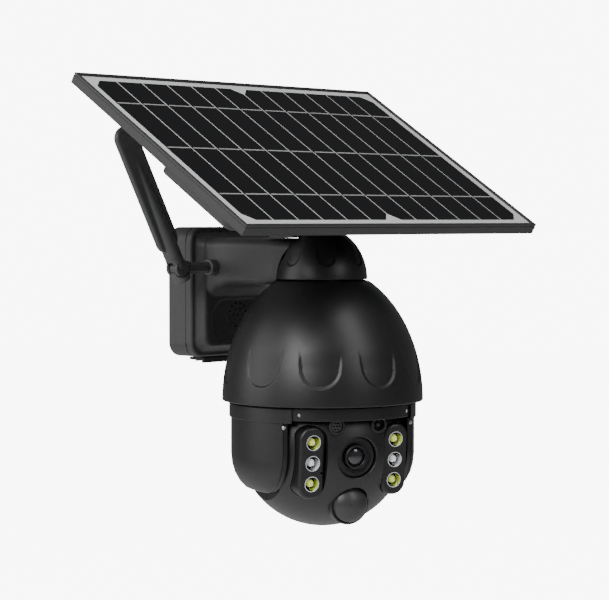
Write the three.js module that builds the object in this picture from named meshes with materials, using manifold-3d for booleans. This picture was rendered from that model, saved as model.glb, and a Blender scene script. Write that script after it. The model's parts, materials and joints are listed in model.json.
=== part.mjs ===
// Solar-powered pan and tilt security camera for a wall, in millimetres.
// Origin: centre of the wall bracket's back face. +X right seen from the front, -Y out of the wall, +Z up.
import * as THREE from 'three';
import { mergeVertices } from 'three/addons/utils/BufferGeometryUtils.js';
import Module from 'manifold-3d';

// Driving dimensions
const GAP = 0.3;                       // clearance between separate pieces
const WALL = 2.4;                      // moulded wall thickness
const PLATE = { width: 58, height: 66, corner: 6, thick: 2, screw: 2.6, screwZ: 22 };
const BOX = { width: 72, height: 83, corner: 9, back: -2.3, split: -19, front: -23 };
const LID_BACK = -20.6;
const BOSS = { width: 62, height: 75, corner: 10, front: -31 };
const SPEAKER = { z: -14, radius: 13, hole: 0.7, rings: [[0, 0, 1], [3.4, 0, 6], [6.8, Math.PI / 12, 12]] };
const INLET = { y: -11, z: -20, bore: 2.6, thread: 4.7, flange: 7.4 };
const BUTTON = { x: 12, y: -14, radius: 2, flange: 3.4 };
const SOCKET = { x: [-10, 4], y: [-16, -12] };
const FLAP = { half: 22, back: -8, front: -20, thick: 1.8, drop: 0.8, lip: 3.4, hinge: 1.6 };
const ARM = { width: 52, low: 9, high: 34.6, corner: 11, end: -98 };
const CAP = { y: -104, radius: 28.4, low: 9.3, high: 37 };
const DOME = { y: -104.8, radius: 62.4, rise: 83.3, low: -65.5, high: 8.7, wall: 2.6, collar: 7.2 };
const HEAD_TURN = -22.2;               // degrees the head is turned at rest
const FACE_TILT = 6;                   // degrees the ball looks down at rest
const YOKE = { radius: 57, top: -36, collarTop: -66.3, collarLow: -74, bore: 54.9, floor: -123.5 };
const EAR = { inner: 40.3, plate: 2.6, front: 37 };
const BALL = { z: -91.5, radius: 52.3, wall: 2.4, half: 39.2, splitY: -6 };
const LENS = { bore: 12.2, face: 51.6, throat: 47.8, seat: 33.2, barrel: 7.4, glass: 46.5 };
const POD = { x: 27.4, z: -3.3, width: 16.4, height: 44, face: -45.6 };
const LAMP = { radius: 3.6, pitch: 12.6 };
const SENSOR = { z: -30.3, outer: 12.8, inner: 11.2, face: -42.7 };
const SMALL_BOSS = { x: 13.9, z: 19.4, radius: 5.3, face: -49.4 };
const PANEL = { width: 264, depth: 171.8, thick: 7, lip: 2, underLip: 9, tilt: 32.2,
  pivotY: -98, pivotZ: 54 };
const PANEL_ORIGIN = { v: -67, w: 29.2 };   // front top edge from the hinge pin, along and above the slope
const TRAY = { width: 250, front: 17, back: 84, thick: 8 };
const HINGE = { bolt: 2.1, bore: 2.4, lug: 8, lugX: 15, eyelet: 7, half: 11.8, head: 4.6, reach: 21.5 };
const FOOT = { half: 22, back: -78, front: -100, thick: 2.2 };
const ANTENNA = { y: -36, z: 16, stubEnd: -50, pivotX: -58.5, lean: 28.2 };
const BLADE = { root: 16, length: 98, width: 17.6, thick: 4.4 };
const PAN_GEAR = { teeth: 40, module: 1, low: -9, high: -4.5 };
const PAN_PINION = { teeth: 10 };
const TILT_GEAR = { teeth: 30, module: 0.7, inner: 43.6, outer: 45.8 };
const TILT_PINION = { teeth: 10 };
const AXLE = { radius: 3.8, bore: 2.2, hole: 4.1, flange: 7, inner: 34 };
const SPINDLE = { bore: 3.8, radius: 5.8, flange: 9 };
const CELL = { radius: 9.2, length: 65, pitch: 19.2, y: -14.6, low: -32.6 };

const wasm = await Module();
wasm.setup();

// A closed three.js geometry as a solid: shared corners are merged and empty triangles dropped.
function solid(geometry) {
  const bare = geometry.clone();
  for (const name of ['normal', 'uv']) bare.deleteAttribute(name);
  const merged = mergeVertices(bare, 1e-4);
  const index = merged.index.array;
  const kept = [];
  for (let i = 0; i < index.length; i += 3) {
    const [a, b, c] = [index[i], index[i + 1], index[i + 2]];
    if (a !== b && b !== c && c !== a) kept.push(a, b, c);
  }
  const points = Float32Array.from(merged.attributes.position.array);
  if (signedVolume(points, kept) < 0) kept.reverse();
  const triVerts = Uint32Array.from(kept);
  return new wasm.Manifold(new wasm.Mesh({ numProp: 3, vertProperties: points, triVerts }));
}

function signedVolume(points, index) {
  const corner = (i) => new THREE.Vector3().fromArray(points, index[i] * 3);
  let sum = 0;
  for (let i = 0; i < index.length; i += 3) {
    sum += corner(i).dot(corner(i + 1).cross(corner(i + 2)));
  }
  return sum;
}

// Basic shapes, each given by where it lies
function block(x, y, z) {
  const box = new THREE.BoxGeometry(x[1] - x[0], y[1] - y[0], z[1] - z[0]);
  return solid(box.translate((x[0] + x[1]) / 2, (y[0] + y[1]) / 2, (z[0] + z[1]) / 2));
}

// Turns a shape made along +Z to the named axis: x keeps (y, z) as the shape's plane, and y keeps (x, z).
function along(axis, geometry) {
  if (axis === 'y') geometry.rotateX(Math.PI / 2);
  if (axis === 'x') {
    const turn = new THREE.Matrix4().makeBasis(
      new THREE.Vector3(0, 1, 0), new THREE.Vector3(0, 0, 1), new THREE.Vector3(1, 0, 0));
    geometry.applyMatrix4(turn);
  }
  return geometry;
}

function cone(axis, radii, span, centre, segments = 24) {
  const geometry = new THREE.CylinderGeometry(radii[1], radii[0], Math.abs(span[1] - span[0]), segments);
  geometry.rotateX(Math.PI / 2).translate(0, 0, Math.abs(span[1] - span[0]) / 2);
  return place(axis, geometry, span, centre);
}

function rod(axis, radius, span, centre, segments = 24) {
  return cone(axis, [radius, radius], span, centre, segments);
}

function slab(axis, shape, span, centre = [0, 0], curveSegments = 5) {
  const depth = Math.abs(span[1] - span[0]);
  const geometry = new THREE.ExtrudeGeometry(shape, { depth, bevelEnabled: false, curveSegments });
  return place(axis, geometry, span, centre);
}

// span[0] is where the shape starts; along y it grows towards -Y, along x and z towards plus.
function place(axis, geometry, span, centre) {
  along(axis, geometry);
  if (axis === 'x') geometry.translate(span[0], centre[0], centre[1]);
  if (axis === 'y') geometry.translate(centre[0], span[0], centre[1]);
  if (axis === 'z') geometry.translate(centre[0], centre[1], span[0]);
  return solid(geometry);
}

function turned(profile, segments = 36, centre = [0, 0, 0]) {
  const points = profile.map(([radius, height]) => new THREE.Vector2(radius, height));
  const geometry = new THREE.LatheGeometry(points, segments).rotateX(Math.PI / 2);
  return solid(geometry.translate(centre[0], centre[1], centre[2]));
}

function ball(radius, centre, segments) {
  const geometry = new THREE.SphereGeometry(radius, segments, segments / 2);
  return solid(geometry.translate(centre[0], centre[1], centre[2]));
}

function roundedRect(width, height, corner) {
  const shape = new THREE.Shape();
  const [x, y] = [width / 2 - corner, height / 2 - corner];
  shape.absarc(x, y, corner, 0, Math.PI / 2);
  shape.absarc(-x, y, corner, Math.PI / 2, Math.PI);
  shape.absarc(-x, -y, corner, Math.PI, Math.PI * 1.5);
  shape.absarc(x, -y, corner, Math.PI * 1.5, Math.PI * 2);
  return shape;
}

// An outline of teeth with straight flanks, each tooth centred on its pitch angle.
function gearOutline(teeth, module, turn = 0) {
  const pitch = (Math.PI * 2) / teeth;
  const radius = (teeth * module) / 2;
  const profile = [[-0.27, -1.2], [-0.11, 0.85], [0.11, 0.85], [0.27, -1.2]];
  const shape = new THREE.Shape();
  for (let tooth = 0; tooth < teeth; tooth += 1) {
    for (const [part, rise] of profile) {
      const angle = turn + pitch * (tooth + part);
      const reach = radius + rise * module;
      const [x, y] = [reach * Math.cos(angle), reach * Math.sin(angle)];
      if (tooth === 0 && part === profile[0][0]) shape.moveTo(x, y);
      else shape.lineTo(x, y);
    }
  }
  shape.closePath();
  return shape;
}

function finish(color, roughness, metalness = 0) {
  return () => new THREE.MeshStandardMaterial({ color, roughness, metalness });
}

const BLACK = finish(0x202124, 0.5);
const SATIN = finish(0x2a2b2e, 0.42);
const RUBBER = finish(0x18181a, 0.85);
const STEEL = finish(0x9a9c9e, 0.35, 1);
const CHROME = finish(0xd0d2d4, 0.15, 1);
const BRASS = finish(0xb08d45, 0.35, 1);
const WHITE = finish(0xd8d8d4, 0.5);
const BOARD = finish(0x1d5a36, 0.6);
const GLASS = finish(0x0b0d12, 0.05);
const CELL_WRAP = finish(0x2f6fae, 0.45);
const PHOSPHOR = finish(0xd8e07a, 0.3);
const LAMP_CLEAR = finish(0xc8ccd0, 0.2);

function add(group, name, shape, makeMaterial) {
  const { numProp, vertProperties, triVerts } = shape.getMesh();
  const geometry = new THREE.BufferGeometry();
  if (numProp !== 3) throw new Error(`${name} has extra properties`);
  geometry.setAttribute('position', new THREE.BufferAttribute(vertProperties, 3));
  geometry.setIndex(new THREE.BufferAttribute(triVerts, 1));
  const mesh = new THREE.Mesh(geometry, makeMaterial());
  mesh.name = name;
  group.add(mesh);
}

const camera = new THREE.Group();
const head = new THREE.Group();
const eye = new THREE.Group();
const panel = new THREE.Group();
const antenna = new THREE.Group();
head.position.set(0, DOME.y, 0);
head.rotation.z = THREE.MathUtils.degToRad(HEAD_TURN);
eye.position.set(0, 0, BALL.z);
eye.rotation.x = THREE.MathUtils.degToRad(FACE_TILT);
head.add(eye);
panel.position.set(0, PANEL.pivotY, PANEL.pivotZ);
panel.rotation.x = THREE.MathUtils.degToRad(PANEL.tilt);
antenna.position.set(ANTENNA.pivotX, ANTENNA.y, ANTENNA.z);
antenna.rotation.y = THREE.MathUtils.degToRad(-ANTENNA.lean);
camera.add(head, panel, antenna);

// Wall bracket: a steel plate with two screw holes; the box hooks over it.
function wallBracket() {
  let plate = slab('y', roundedRect(PLATE.width, PLATE.height, PLATE.corner), [0, -PLATE.thick]);
  for (const z of [-PLATE.screwZ, PLATE.screwZ]) {
    plate = plate.subtract(rod('y', PLATE.screw, [1, -PLATE.thick - 1], [0, z], 16));
  }
  add(camera, 'wall_bracket', plate, STEEL);
}

// Rear shell: an open tray; the wall bracket is screwed to its back.
function rearShell() {
  const outer = slab('y', roundedRect(BOX.width, BOX.height, BOX.corner), [BOX.back, BOX.split]);
  const inner = slab('y', roundedRect(BOX.width - 2 * WALL, BOX.height - 2 * WALL, BOX.corner - WALL),
    [BOX.back - WALL, BOX.split - 1]);
  const floor = [-BOX.height / 2 - 1, -BOX.height / 2 + 4];
  const inlet = rod('x', INLET.thread + GAP, [BOX.width / 2 - 4, BOX.width / 2 + 1], [INLET.y, INLET.z]);
  const socket = block(SOCKET.x, SOCKET.y, floor);
  const buttonHole = rod('z', BUTTON.radius + 0.4, floor, [BUTTON.x, BUTTON.y], 16);
  const shell = outer.subtract(inner).subtract(inlet).subtract(socket).subtract(buttonHole);
  add(camera, 'rear_shell', shell, BLACK);
}

function boxGasket() {
  const span = [BOX.split - GAP, LID_BACK + GAP];
  const outer = slab('y', roundedRect(BOX.width - 3, BOX.height - 3, BOX.corner - 1.5), span);
  const inner = slab('y', roundedRect(BOX.width - 7, BOX.height - 7, BOX.corner - 3.5),
    [BOX.split + 1, LID_BACK - 1]);
  add(camera, 'box_gasket', outer.subtract(inner), RUBBER);
}

// Front cover: the lid of the box with its raised middle and the hollow arm that carries dome and panel.
function armOutline(grow) {
  const height = ARM.high - ARM.low + 2 * grow;
  return roundedRect(ARM.width + 2 * grow, height, ARM.corner + grow);
}

function armSolid(grow, span) {
  return slab('y', armOutline(grow), span, [0, (ARM.low + ARM.high) / 2]);
}

function frontCover() {
  let cover = slab('y', roundedRect(BOX.width, BOX.height, BOX.corner), [LID_BACK, BOX.front]);
  cover = cover.add(slab('y', roundedRect(BOSS.width, BOSS.height, BOSS.corner), [LID_BACK, BOSS.front]));
  cover = cover.add(armSolid(0, [LID_BACK, ARM.end]));
  const gusset = new THREE.Shape();
  const [armFoot, bossFace] = [ARM.low + 4, BOSS.front + 4];
  gusset.moveTo(bossFace, armFoot);
  gusset.lineTo(bossFace, -9);
  gusset.quadraticCurveTo(BOSS.front - 2, ARM.low - 2, BOSS.front - 22, ARM.low + 0.5);
  gusset.lineTo(BOSS.front - 22, armFoot);
  cover = cover.add(slab('x', gusset, [-22, 22]));
  const pocket = roundedRect(BOSS.width - 2 * WALL, BOSS.height - 2 * WALL, BOSS.corner - WALL);
  cover = cover.subtract(slab('y', pocket, [LID_BACK + 1, BOSS.front + WALL]));
  cover = cover.subtract(armSolid(-WALL, [LID_BACK + 1, ARM.end - 1]));
  for (const [reach, start, count] of SPEAKER.rings) {
    for (let i = 0; i < count; i += 1) {
      const angle = start + (i * Math.PI * 2) / count;
      const centre = [reach * Math.cos(angle), SPEAKER.z + reach * Math.sin(angle)];
      cover = cover.subtract(rod('y', SPEAKER.hole, [BOSS.front + 5, BOSS.front - 1], centre, 6));
    }
  }
  const capRoom = rod('z', CAP.radius + GAP, [0, CAP.high + 2], [0, CAP.y], 40);
  const footHalf = FOOT.half + GAP;
  const bracketRoom = block([-footHalf, footHalf], [FOOT.front - 1, FOOT.back + GAP],
    [ARM.high - 0.1, ARM.high + 5]);
  add(camera, 'front_cover', cover.subtract(capRoom).subtract(bracketRoom), SATIN);
}

// Arm cap: a fluted dome closing the arm's end, with a seat for the panel bracket in its top.
function armCap() {
  const outer = turned([[0, CAP.high], [13.5, CAP.high], [17.4, 35.1], [21, 31.3], [24.4, 25.8],
    [26.9, 19.4], [CAP.radius, 12], [CAP.radius, CAP.low], [0, CAP.low]], 32, [0, CAP.y, 0]);
  const bore = CAP.radius - WALL;
  const inner = turned([[0, 32], [11, 32], [20, 25], [24, 18], [bore, 12], [bore, CAP.low - 1],
    [0, CAP.low - 1]], 32, [0, CAP.y, 0]);
  const doorway = armSolid(-WALL, [-70, -96]);
  const footHalf = FOOT.half + GAP;
  const seat = block([-footHalf, footHalf], [FOOT.front - GAP, -70], [ARM.high + 0.1, CAP.high + 2]);
  add(camera, 'arm_cap', outer.subtract(inner).subtract(doorway).subtract(seat), SATIN);
}

// Dome shell: the fixed upper dome under the arm, half an ellipse with a flat top, open below.
function domeShell() {
  const { radius, rise, low, high, wall, collar } = DOME;
  const reach = (height) => radius * Math.sqrt(1 - ((height - low) / rise) ** 2);
  const outline = [high, 1, -7, -16, -26, -38, -51].map((height) => [reach(height), height]);
  const inside = outline.map(([r, height]) => [r - wall, height - (height > -30 ? 2 : 0)]);
  const profile = [[collar, high], ...outline, [radius, low], [radius - wall, low], ...inside.reverse(),
    [collar, high - wall], [collar, high]];
  add(camera, 'dome_shell', turned(profile, 40, [0, DOME.y, 0]), SATIN);
}

function batteryPack() {
  for (const [index, place] of [-1, 0, 1].entries()) {
    const centre = [place * CELL.pitch, CELL.y];
    const can = rod('z', CELL.radius, [CELL.low, CELL.low + CELL.length - 1.5], centre, 20);
    const tip = rod('z', 3, [CELL.low + CELL.length - 2, CELL.low + CELL.length], centre, 12);
    add(camera, `battery_cell_${index + 1}`, can.add(tip), CELL_WRAP);
  }
  const base = block([-28, 28], [-19.2, -5.2], [CELL.low - 2.3, CELL.low - 0.3]);
  let tray = base;
  for (const x of [-CELL.pitch / 2, CELL.pitch / 2]) {
    tray = tray.add(block([x - 0.35, x + 0.35], [-6.4, -5.2], [CELL.low - 2.3, CELL.low + 40]));
  }
  add(camera, 'battery_tray', tray, WHITE);
}

function chargeBoard() {
  const board = block([-27, 27], [-18, -5.5], [34, 35.6]);
  const chip = block([-8, 2], [-14, -8], [35.5, 36.9]);
  const coil = rod('z', 3.5, [35.5, 38.4], [14, -11], 16);
  add(camera, 'charge_board', board.add(chip).add(coil), BOARD);
}

function speaker() {
  const basket = cone('y', [SPEAKER.radius - 2.5, SPEAKER.radius], [-24.8, -28.1], [0, SPEAKER.z], 24);
  add(camera, 'speaker', basket, STEEL);
}

// Solar inlet: a threaded gland in the box's side where the panel's lead plugs in.
function solarInlet() {
  const wall = BOX.width / 2;
  const centre = [INLET.y, INLET.z];
  const body = rod('x', INLET.thread, [wall - 5, wall + 9], centre, 20);
  const flange = rod('x', INLET.flange, [wall + GAP, wall + 4], centre, 6);
  const bore = rod('x', INLET.bore, [wall - 2, wall + 10], centre, 12);
  add(camera, 'solar_inlet', body.add(flange).subtract(bore), BLACK);
}

function resetButton() {
  const floor = -BOX.height / 2;
  const stem = rod('z', BUTTON.radius, [floor - 0.4, floor + 4], [BUTTON.x, BUTTON.y], 16);
  const flange = rod('z', BUTTON.flange, [floor + 3, floor + 4], [BUTTON.x, BUTTON.y], 16);
  add(camera, 'reset_button', stem.add(flange), RUBBER);
}

// Port flap: a rubber lid under the box over the charging socket and the button, with a finger lip.
function portFlap() {
  const top = -BOX.height / 2 - FLAP.drop;
  const width = [-FLAP.half, FLAP.half];
  const lid = block(width, [FLAP.front, FLAP.back], [top - FLAP.thick, top]);
  const hinge = rod('x', FLAP.hinge, [-16, 16], [FLAP.back, top - FLAP.hinge], 12);
  const lip = block(width, [FLAP.front - 1.4, FLAP.front], [top - FLAP.lip, top]);
  add(camera, 'port_flap', lid.add(hinge).add(lip), RUBBER);
}

// Pan drive: a fixed plate inside the dome carries the motor and the bearing of the head's spindle.
function panDrive() {
  const plateTop = -10.6;
  const pinionX = (PAN_GEAR.teeth + PAN_PINION.teeth) * PAN_GEAR.module / 2;
  const centre = [0, DOME.y];
  const motorPlace = [-pinionX, DOME.y];
  const plate = rod('z', 42, [plateTop - 2, plateTop], centre, 40)
    .subtract(rod('z', 10.5, [plateTop - 3, plateTop + 1], centre, 24))
    .subtract(rod('z', 4.4, [plateTop - 3, plateTop + 1], motorPlace, 16));
  add(camera, 'motor_plate', plate, STEEL);
  const can = rod('z', 13, [plateTop - 20, plateTop - 2 - GAP], motorPlace, 24);
  const neck = rod('z', 3.8, [plateTop - 3, plateTop - 0.6], motorPlace, 16);
  const shaft = rod('z', 1.5, [plateTop - 3, PAN_GEAR.high], motorPlace, 12);
  add(camera, 'pan_motor', can.add(neck).add(shaft), STEEL);
  const ring = rod('z', 10.2, [plateTop - 3.5, plateTop + 0.4], centre, 24)
    .subtract(rod('z', 6.3, [plateTop - 5, plateTop + 2], centre, 24));
  add(camera, 'pan_bearing', ring, CHROME);
  const pinionTurn = Math.PI / PAN_PINION.teeth;
  const pinion = slab('z', gearOutline(PAN_PINION.teeth, PAN_GEAR.module, pinionTurn),
    [PAN_GEAR.low, PAN_GEAR.high], motorPlace)
    .subtract(rod('z', 1.8, [PAN_GEAR.low - 1, PAN_GEAR.high + 1], motorPlace, 12));
  add(camera, 'pan_pinion', pinion, BRASS);
  const gear = slab('z', gearOutline(PAN_GEAR.teeth, PAN_GEAR.module, Math.PI),
    [PAN_GEAR.low, PAN_GEAR.high], centre)
    .subtract(rod('z', SPINDLE.radius + GAP, [PAN_GEAR.low - 1, PAN_GEAR.high + 1], centre, 24));
  add(camera, 'pan_gear', gear, WHITE);
}

// Head: everything in this group turns about the dome's axis; X runs ear to ear, -Y is the way it looks.
function panSpindle() {
  const [low, high] = [YOKE.top + GAP, PAN_GEAR.high + 4];
  const { bore, radius, flange } = SPINDLE;
  const tube = turned([[bore, low], [flange, low], [flange, low + 2.7], [radius, low + 2.7], [radius, high],
    [bore, high], [bore, low]], 24);
  add(head, 'pan_spindle', tube, STEEL);
}

function earOutline(grow) {
  const [half, low] = [EAR.front + grow, YOKE.floor - grow];
  const shape = new THREE.Shape();
  shape.moveTo(-half, YOKE.collarLow + 4);
  shape.lineTo(-half, low + 31);
  shape.bezierCurveTo(-half, low + 12, -half + 14, low, -half + 26, low);
  shape.lineTo(half - 26, low);
  shape.bezierCurveTo(half - 14, low, half, low + 12, half, low + 31);
  shape.lineTo(half, YOKE.collarLow + 4);
  shape.closePath();
  return shape;
}

function earBody() {
  const top = YOKE.collarLow + 4;
  return turned([[0, top], [YOKE.radius, top], [YOKE.radius, -98], [56.3, -106], [53.5, -115],
    [49.7, -121], [45.7, -123.6], [0, -123.6]]);
}

function yoke() {
  const top = YOKE.top;
  const cup = turned([[4.2, top], [46, top], [51.5, top - 4.5], [55.6, -52], [56.1, YOKE.collarTop],
    [YOKE.radius, YOKE.collarTop], [YOKE.radius, YOKE.collarLow], [YOKE.bore, YOKE.collarLow],
    [YOKE.bore, YOKE.collarTop], [52.8, -52], [49.6, top - 5], [45, top - WALL], [4.2, top - WALL],
    [4.2, top]]);
  let body = cup;
  for (const side of [-1, 1]) {
    const span = side < 0 ? [-EAR.inner - EAR.plate, -EAR.inner] : [EAR.inner, EAR.inner + EAR.plate];
    const arm = slab('x', earOutline(0), span).intersect(earBody());
    body = body.add(arm).add(block(span, [-30, 30], [-78, -66]));
    body = body.subtract(rod('x', 4.4, [span[0] - 1, span[1] + 1], [0, BALL.z], 24));
  }
  add(head, 'yoke', body, SATIN);
}

// Ear covers: hollow shells screwed over the yoke's side plates; they hide the tilt drive.
function earCover(name, side) {
  const start = EAR.inner + EAR.plate + GAP;
  const spans = (inner, outer) => (side < 0 ? [-outer, -inner] : [inner, outer]);
  const room = slab('x', earOutline(-WALL), spans(start - 1, 53));
  const below = block([-60, 60], [-60, 60], [YOKE.floor - 5, YOKE.collarLow - GAP]);
  const outer = slab('x', earOutline(0), spans(start, 60)).intersect(earBody()).intersect(below);
  const skinny = turned([[0, -76.4], [YOKE.radius - WALL, -76.4], [YOKE.radius - WALL, -98], [53.9, -105],
    [51.1, -113], [47.5, -119], [43.7, -121.2], [0, -121.2]]);
  add(head, name, outer.subtract(room.intersect(skinny)), SATIN);
}

function tiltDrive() {
  const distance = (TILT_GEAR.teeth + TILT_PINION.teeth) * TILT_GEAR.module / 2;
  const pinionPlace = [distance, BALL.z];
  const face = [TILT_GEAR.inner, TILT_GEAR.outer];
  const can = rod('x', 7, [face[1] + 0.4, face[1] + 3.6], pinionPlace, 20);
  const shaft = rod('x', 1.2, [face[0], face[1] + 1], pinionPlace, 12);
  add(head, 'tilt_motor', can.add(shaft), STEEL);
  const pinion = slab('x', gearOutline(TILT_PINION.teeth, TILT_GEAR.module, Math.PI / TILT_PINION.teeth),
    face, pinionPlace).subtract(rod('x', 1.5, [face[0] - 1, face[1] + 1], pinionPlace, 12));
  add(head, 'tilt_pinion', pinion, BRASS);
  const gear = slab('x', gearOutline(TILT_GEAR.teeth, TILT_GEAR.module), face, [0, BALL.z])
    .subtract(rod('x', AXLE.hole, [face[0] - 1, face[1] + 1], [0, BALL.z], 24));
  add(head, 'tilt_gear', gear, WHITE);
}

// Ball: two half shells that turn between the ears on hollow axles. Its group's origin is the tilt axis.
function ballSkin(radius, half) {
  const slice = block([-half, half], [-60, 60], [-60, 60]);
  return ball(radius, [0, 0, 0], 28).intersect(slice);
}

function ballShell() {
  return ballSkin(BALL.radius, BALL.half).subtract(ballSkin(BALL.radius - BALL.wall, BALL.half - BALL.wall));
}

function podOutline(grow) {
  return roundedRect(POD.width + 2 * grow, POD.height + 2 * grow, POD.width / 2 + grow - 0.01);
}

function ballFront() {
  let shell = ballShell().intersect(block([-60, 60], [-60, BALL.splitY], [-60, 60]));
  const inside = ballSkin(BALL.radius - BALL.wall, BALL.half - BALL.wall);
  const sleeves = rod('y', SENSOR.outer, [-20, SENSOR.face], [0, SENSOR.z], 28)
    .add(rod('y', SMALL_BOSS.radius, [-40, SMALL_BOSS.face], [-SMALL_BOSS.x, SMALL_BOSS.z], 20))
    .add(rod('y', SMALL_BOSS.radius, [-40, SMALL_BOSS.face], [SMALL_BOSS.x, SMALL_BOSS.z], 20));
  shell = shell.add(sleeves.subtract(inside));
  shell = shell.subtract(rod('y', LENS.bore + GAP, [-30, -60], [0, 0], 32));
  shell = shell.subtract(rod('y', SENSOR.inner + GAP, [-10, -60], [0, SENSOR.z], 28));
  for (const side of [-1, 1]) {
    shell = shell.subtract(slab('y', podOutline(GAP), [-20, -60], [side * POD.x, POD.z]));
    shell = shell.subtract(rod('y', 3.7, [-30, -60], [side * SMALL_BOSS.x, SMALL_BOSS.z], 16));
    shell = shell.subtract(rod('x', AXLE.hole, [side * BALL.half - 3, side * BALL.half + 3], [0, 0], 24));
  }
  add(eye, 'ball_front', shell, SATIN);
}

function ballRear() {
  const lip = BALL.splitY + GAP;
  let shell = ballShell().intersect(block([-60, 60], [lip, 60], [-60, 60]));
  for (const side of [-1, 1]) {
    shell = shell.subtract(rod('x', AXLE.hole, [side * BALL.half - 3, side * BALL.half + 3], [0, 0], 24));
  }
  add(eye, 'ball_rear', shell, SATIN);
}

function tiltAxles() {
  for (const [name, side] of [['tilt_axle_left', -1], ['tilt_axle_right', 1]]) {
    const ends = (inner, outer) => (side < 0 ? [-outer, -inner] : [inner, outer]);
    const axle = rod('x', AXLE.radius, ends(AXLE.inner, side < 0 ? 46 : 48), [0, 0], 24)
      .add(rod('x', AXLE.flange, ends(AXLE.inner, BALL.half - BALL.wall - GAP), [0, 0], 24))
      .subtract(rod('x', AXLE.bore, ends(AXLE.inner - 1, 50), [0, 0], 12));
    add(eye, name, axle, STEEL);
  }
}

function lensUnit() {
  const { bore: rim, face, throat, seat, barrel: radius, glass: front } = LENS;
  const bezel = turned([[rim, seat], [rim, face], [rim - 1, face + 0.4], [8.8, throat],
    [radius + GAP, throat], [radius + GAP, seat], [rim, seat]], 32);
  const toFront = (shape) => shape.rotate([90, 0, 0]);
  add(eye, 'lens_bezel', toFront(bezel), BLACK);
  const barrel = turned([[0, seat - 4], [radius, seat - 4], [radius, face - 2.2], [radius - 1.2, face - 2.2],
    [radius - 2.2, front - GAP], [0, front - GAP]], 28);
  add(eye, 'lens_barrel', toFront(barrel), BLACK);
  const glass = turned([[0, front], [4.6, front], [4.6, front + 0.5], [2.6, front + 1.6],
    [0, front + 2]], 24);
  add(eye, 'lens_glass', toFront(glass), GLASS);
  const board = block([-16, 16], [-26.2, -24.6], [-14, 22]).add(block([-9, 9], [-27.7, -26], [-9, 9]));
  add(eye, 'image_board', board, BOARD);
}

function lampPod(side) {
  const word = side < 0 ? 'left' : 'right';
  const depth = -POD.face - 33;
  let body = slab('y', podOutline(0), [POD.face + depth, POD.face], [side * POD.x, POD.z]);
  for (const row of [1, 0, -1]) {
    const place = [side * POD.x, POD.z + row * LAMP.pitch];
    const radii = [LAMP.radius + 0.2, LAMP.radius + 1.4];
    body = body.subtract(cone('y', radii, [POD.face + 5, POD.face - 0.01], place, 12));
  }
  add(eye, `lamp_pod_${word}`, body, SATIN);
  for (const [index, row] of [1, 0, -1].entries()) {
    const place = [side * POD.x, POD.face + 3, POD.z + row * LAMP.pitch];
    const dome = ball(LAMP.radius - 0.4, place, 10);
    const skirt = rod('y', LAMP.radius - 0.3, [POD.face + 4.6, POD.face + 2.8], [place[0], place[2]], 10);
    const below = block([-60, 60], [POD.face + 2.9, 0], [-60, 60]);
    const shape = dome.subtract(below).add(skirt);
    add(eye, `lamp_${word}_${index + 1}`, shape, index === 1 ? LAMP_CLEAR : PHOSPHOR);
  }
}

function smallSensors() {
  let mic = rod('y', 3.4, [-40, SMALL_BOSS.face + 1.2], [-SMALL_BOSS.x, SMALL_BOSS.z], 16);
  for (let i = 0; i < 7; i += 1) {
    const angle = (i * Math.PI) / 3;
    const reach = i === 6 ? 0 : 1.9;
    const centre = [-SMALL_BOSS.x + reach * Math.cos(angle), SMALL_BOSS.z + reach * Math.sin(angle)];
    mic = mic.subtract(rod('y', 0.45, [SMALL_BOSS.face + 3, SMALL_BOSS.face], centre, 6));
  }
  add(eye, 'microphone', mic, BLACK);
  const light = rod('y', 3.4, [-40, SMALL_BOSS.face + 1.6], [SMALL_BOSS.x, SMALL_BOSS.z], 6);
  add(eye, 'light_sensor', light, GLASS);
}

function motionSensor() {
  const toFront = (shape) => shape.rotate([90, 0, 0]).translate([0, 0, SENSOR.z]);
  const face = -SENSOR.face;
  const lens = turned([[0, 34], [SENSOR.inner, 34], [SENSOR.inner, face - 0.6], [9.6, face + 2.6],
    [6, face + 4.6], [0, face + 5.6], [0, face + 4.4], [5.4, face + 3.4], [8.6, face + 1.4], [10, face - 1],
    [10, 35.2], [0, 35.2]], 28);
  const vent = rod('z', 1, [30, 38], [0, 0], 8);
  add(eye, 'motion_lens', toFront(lens.subtract(vent)), BLACK);
  const can = rod('z', 4.4, [36, 39.6], [0, 0], 16).add(block([-5, 5], [-5, 5], [35.6, 36.2]));
  add(eye, 'motion_sensor', toFront(can), STEEL);
}

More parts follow.
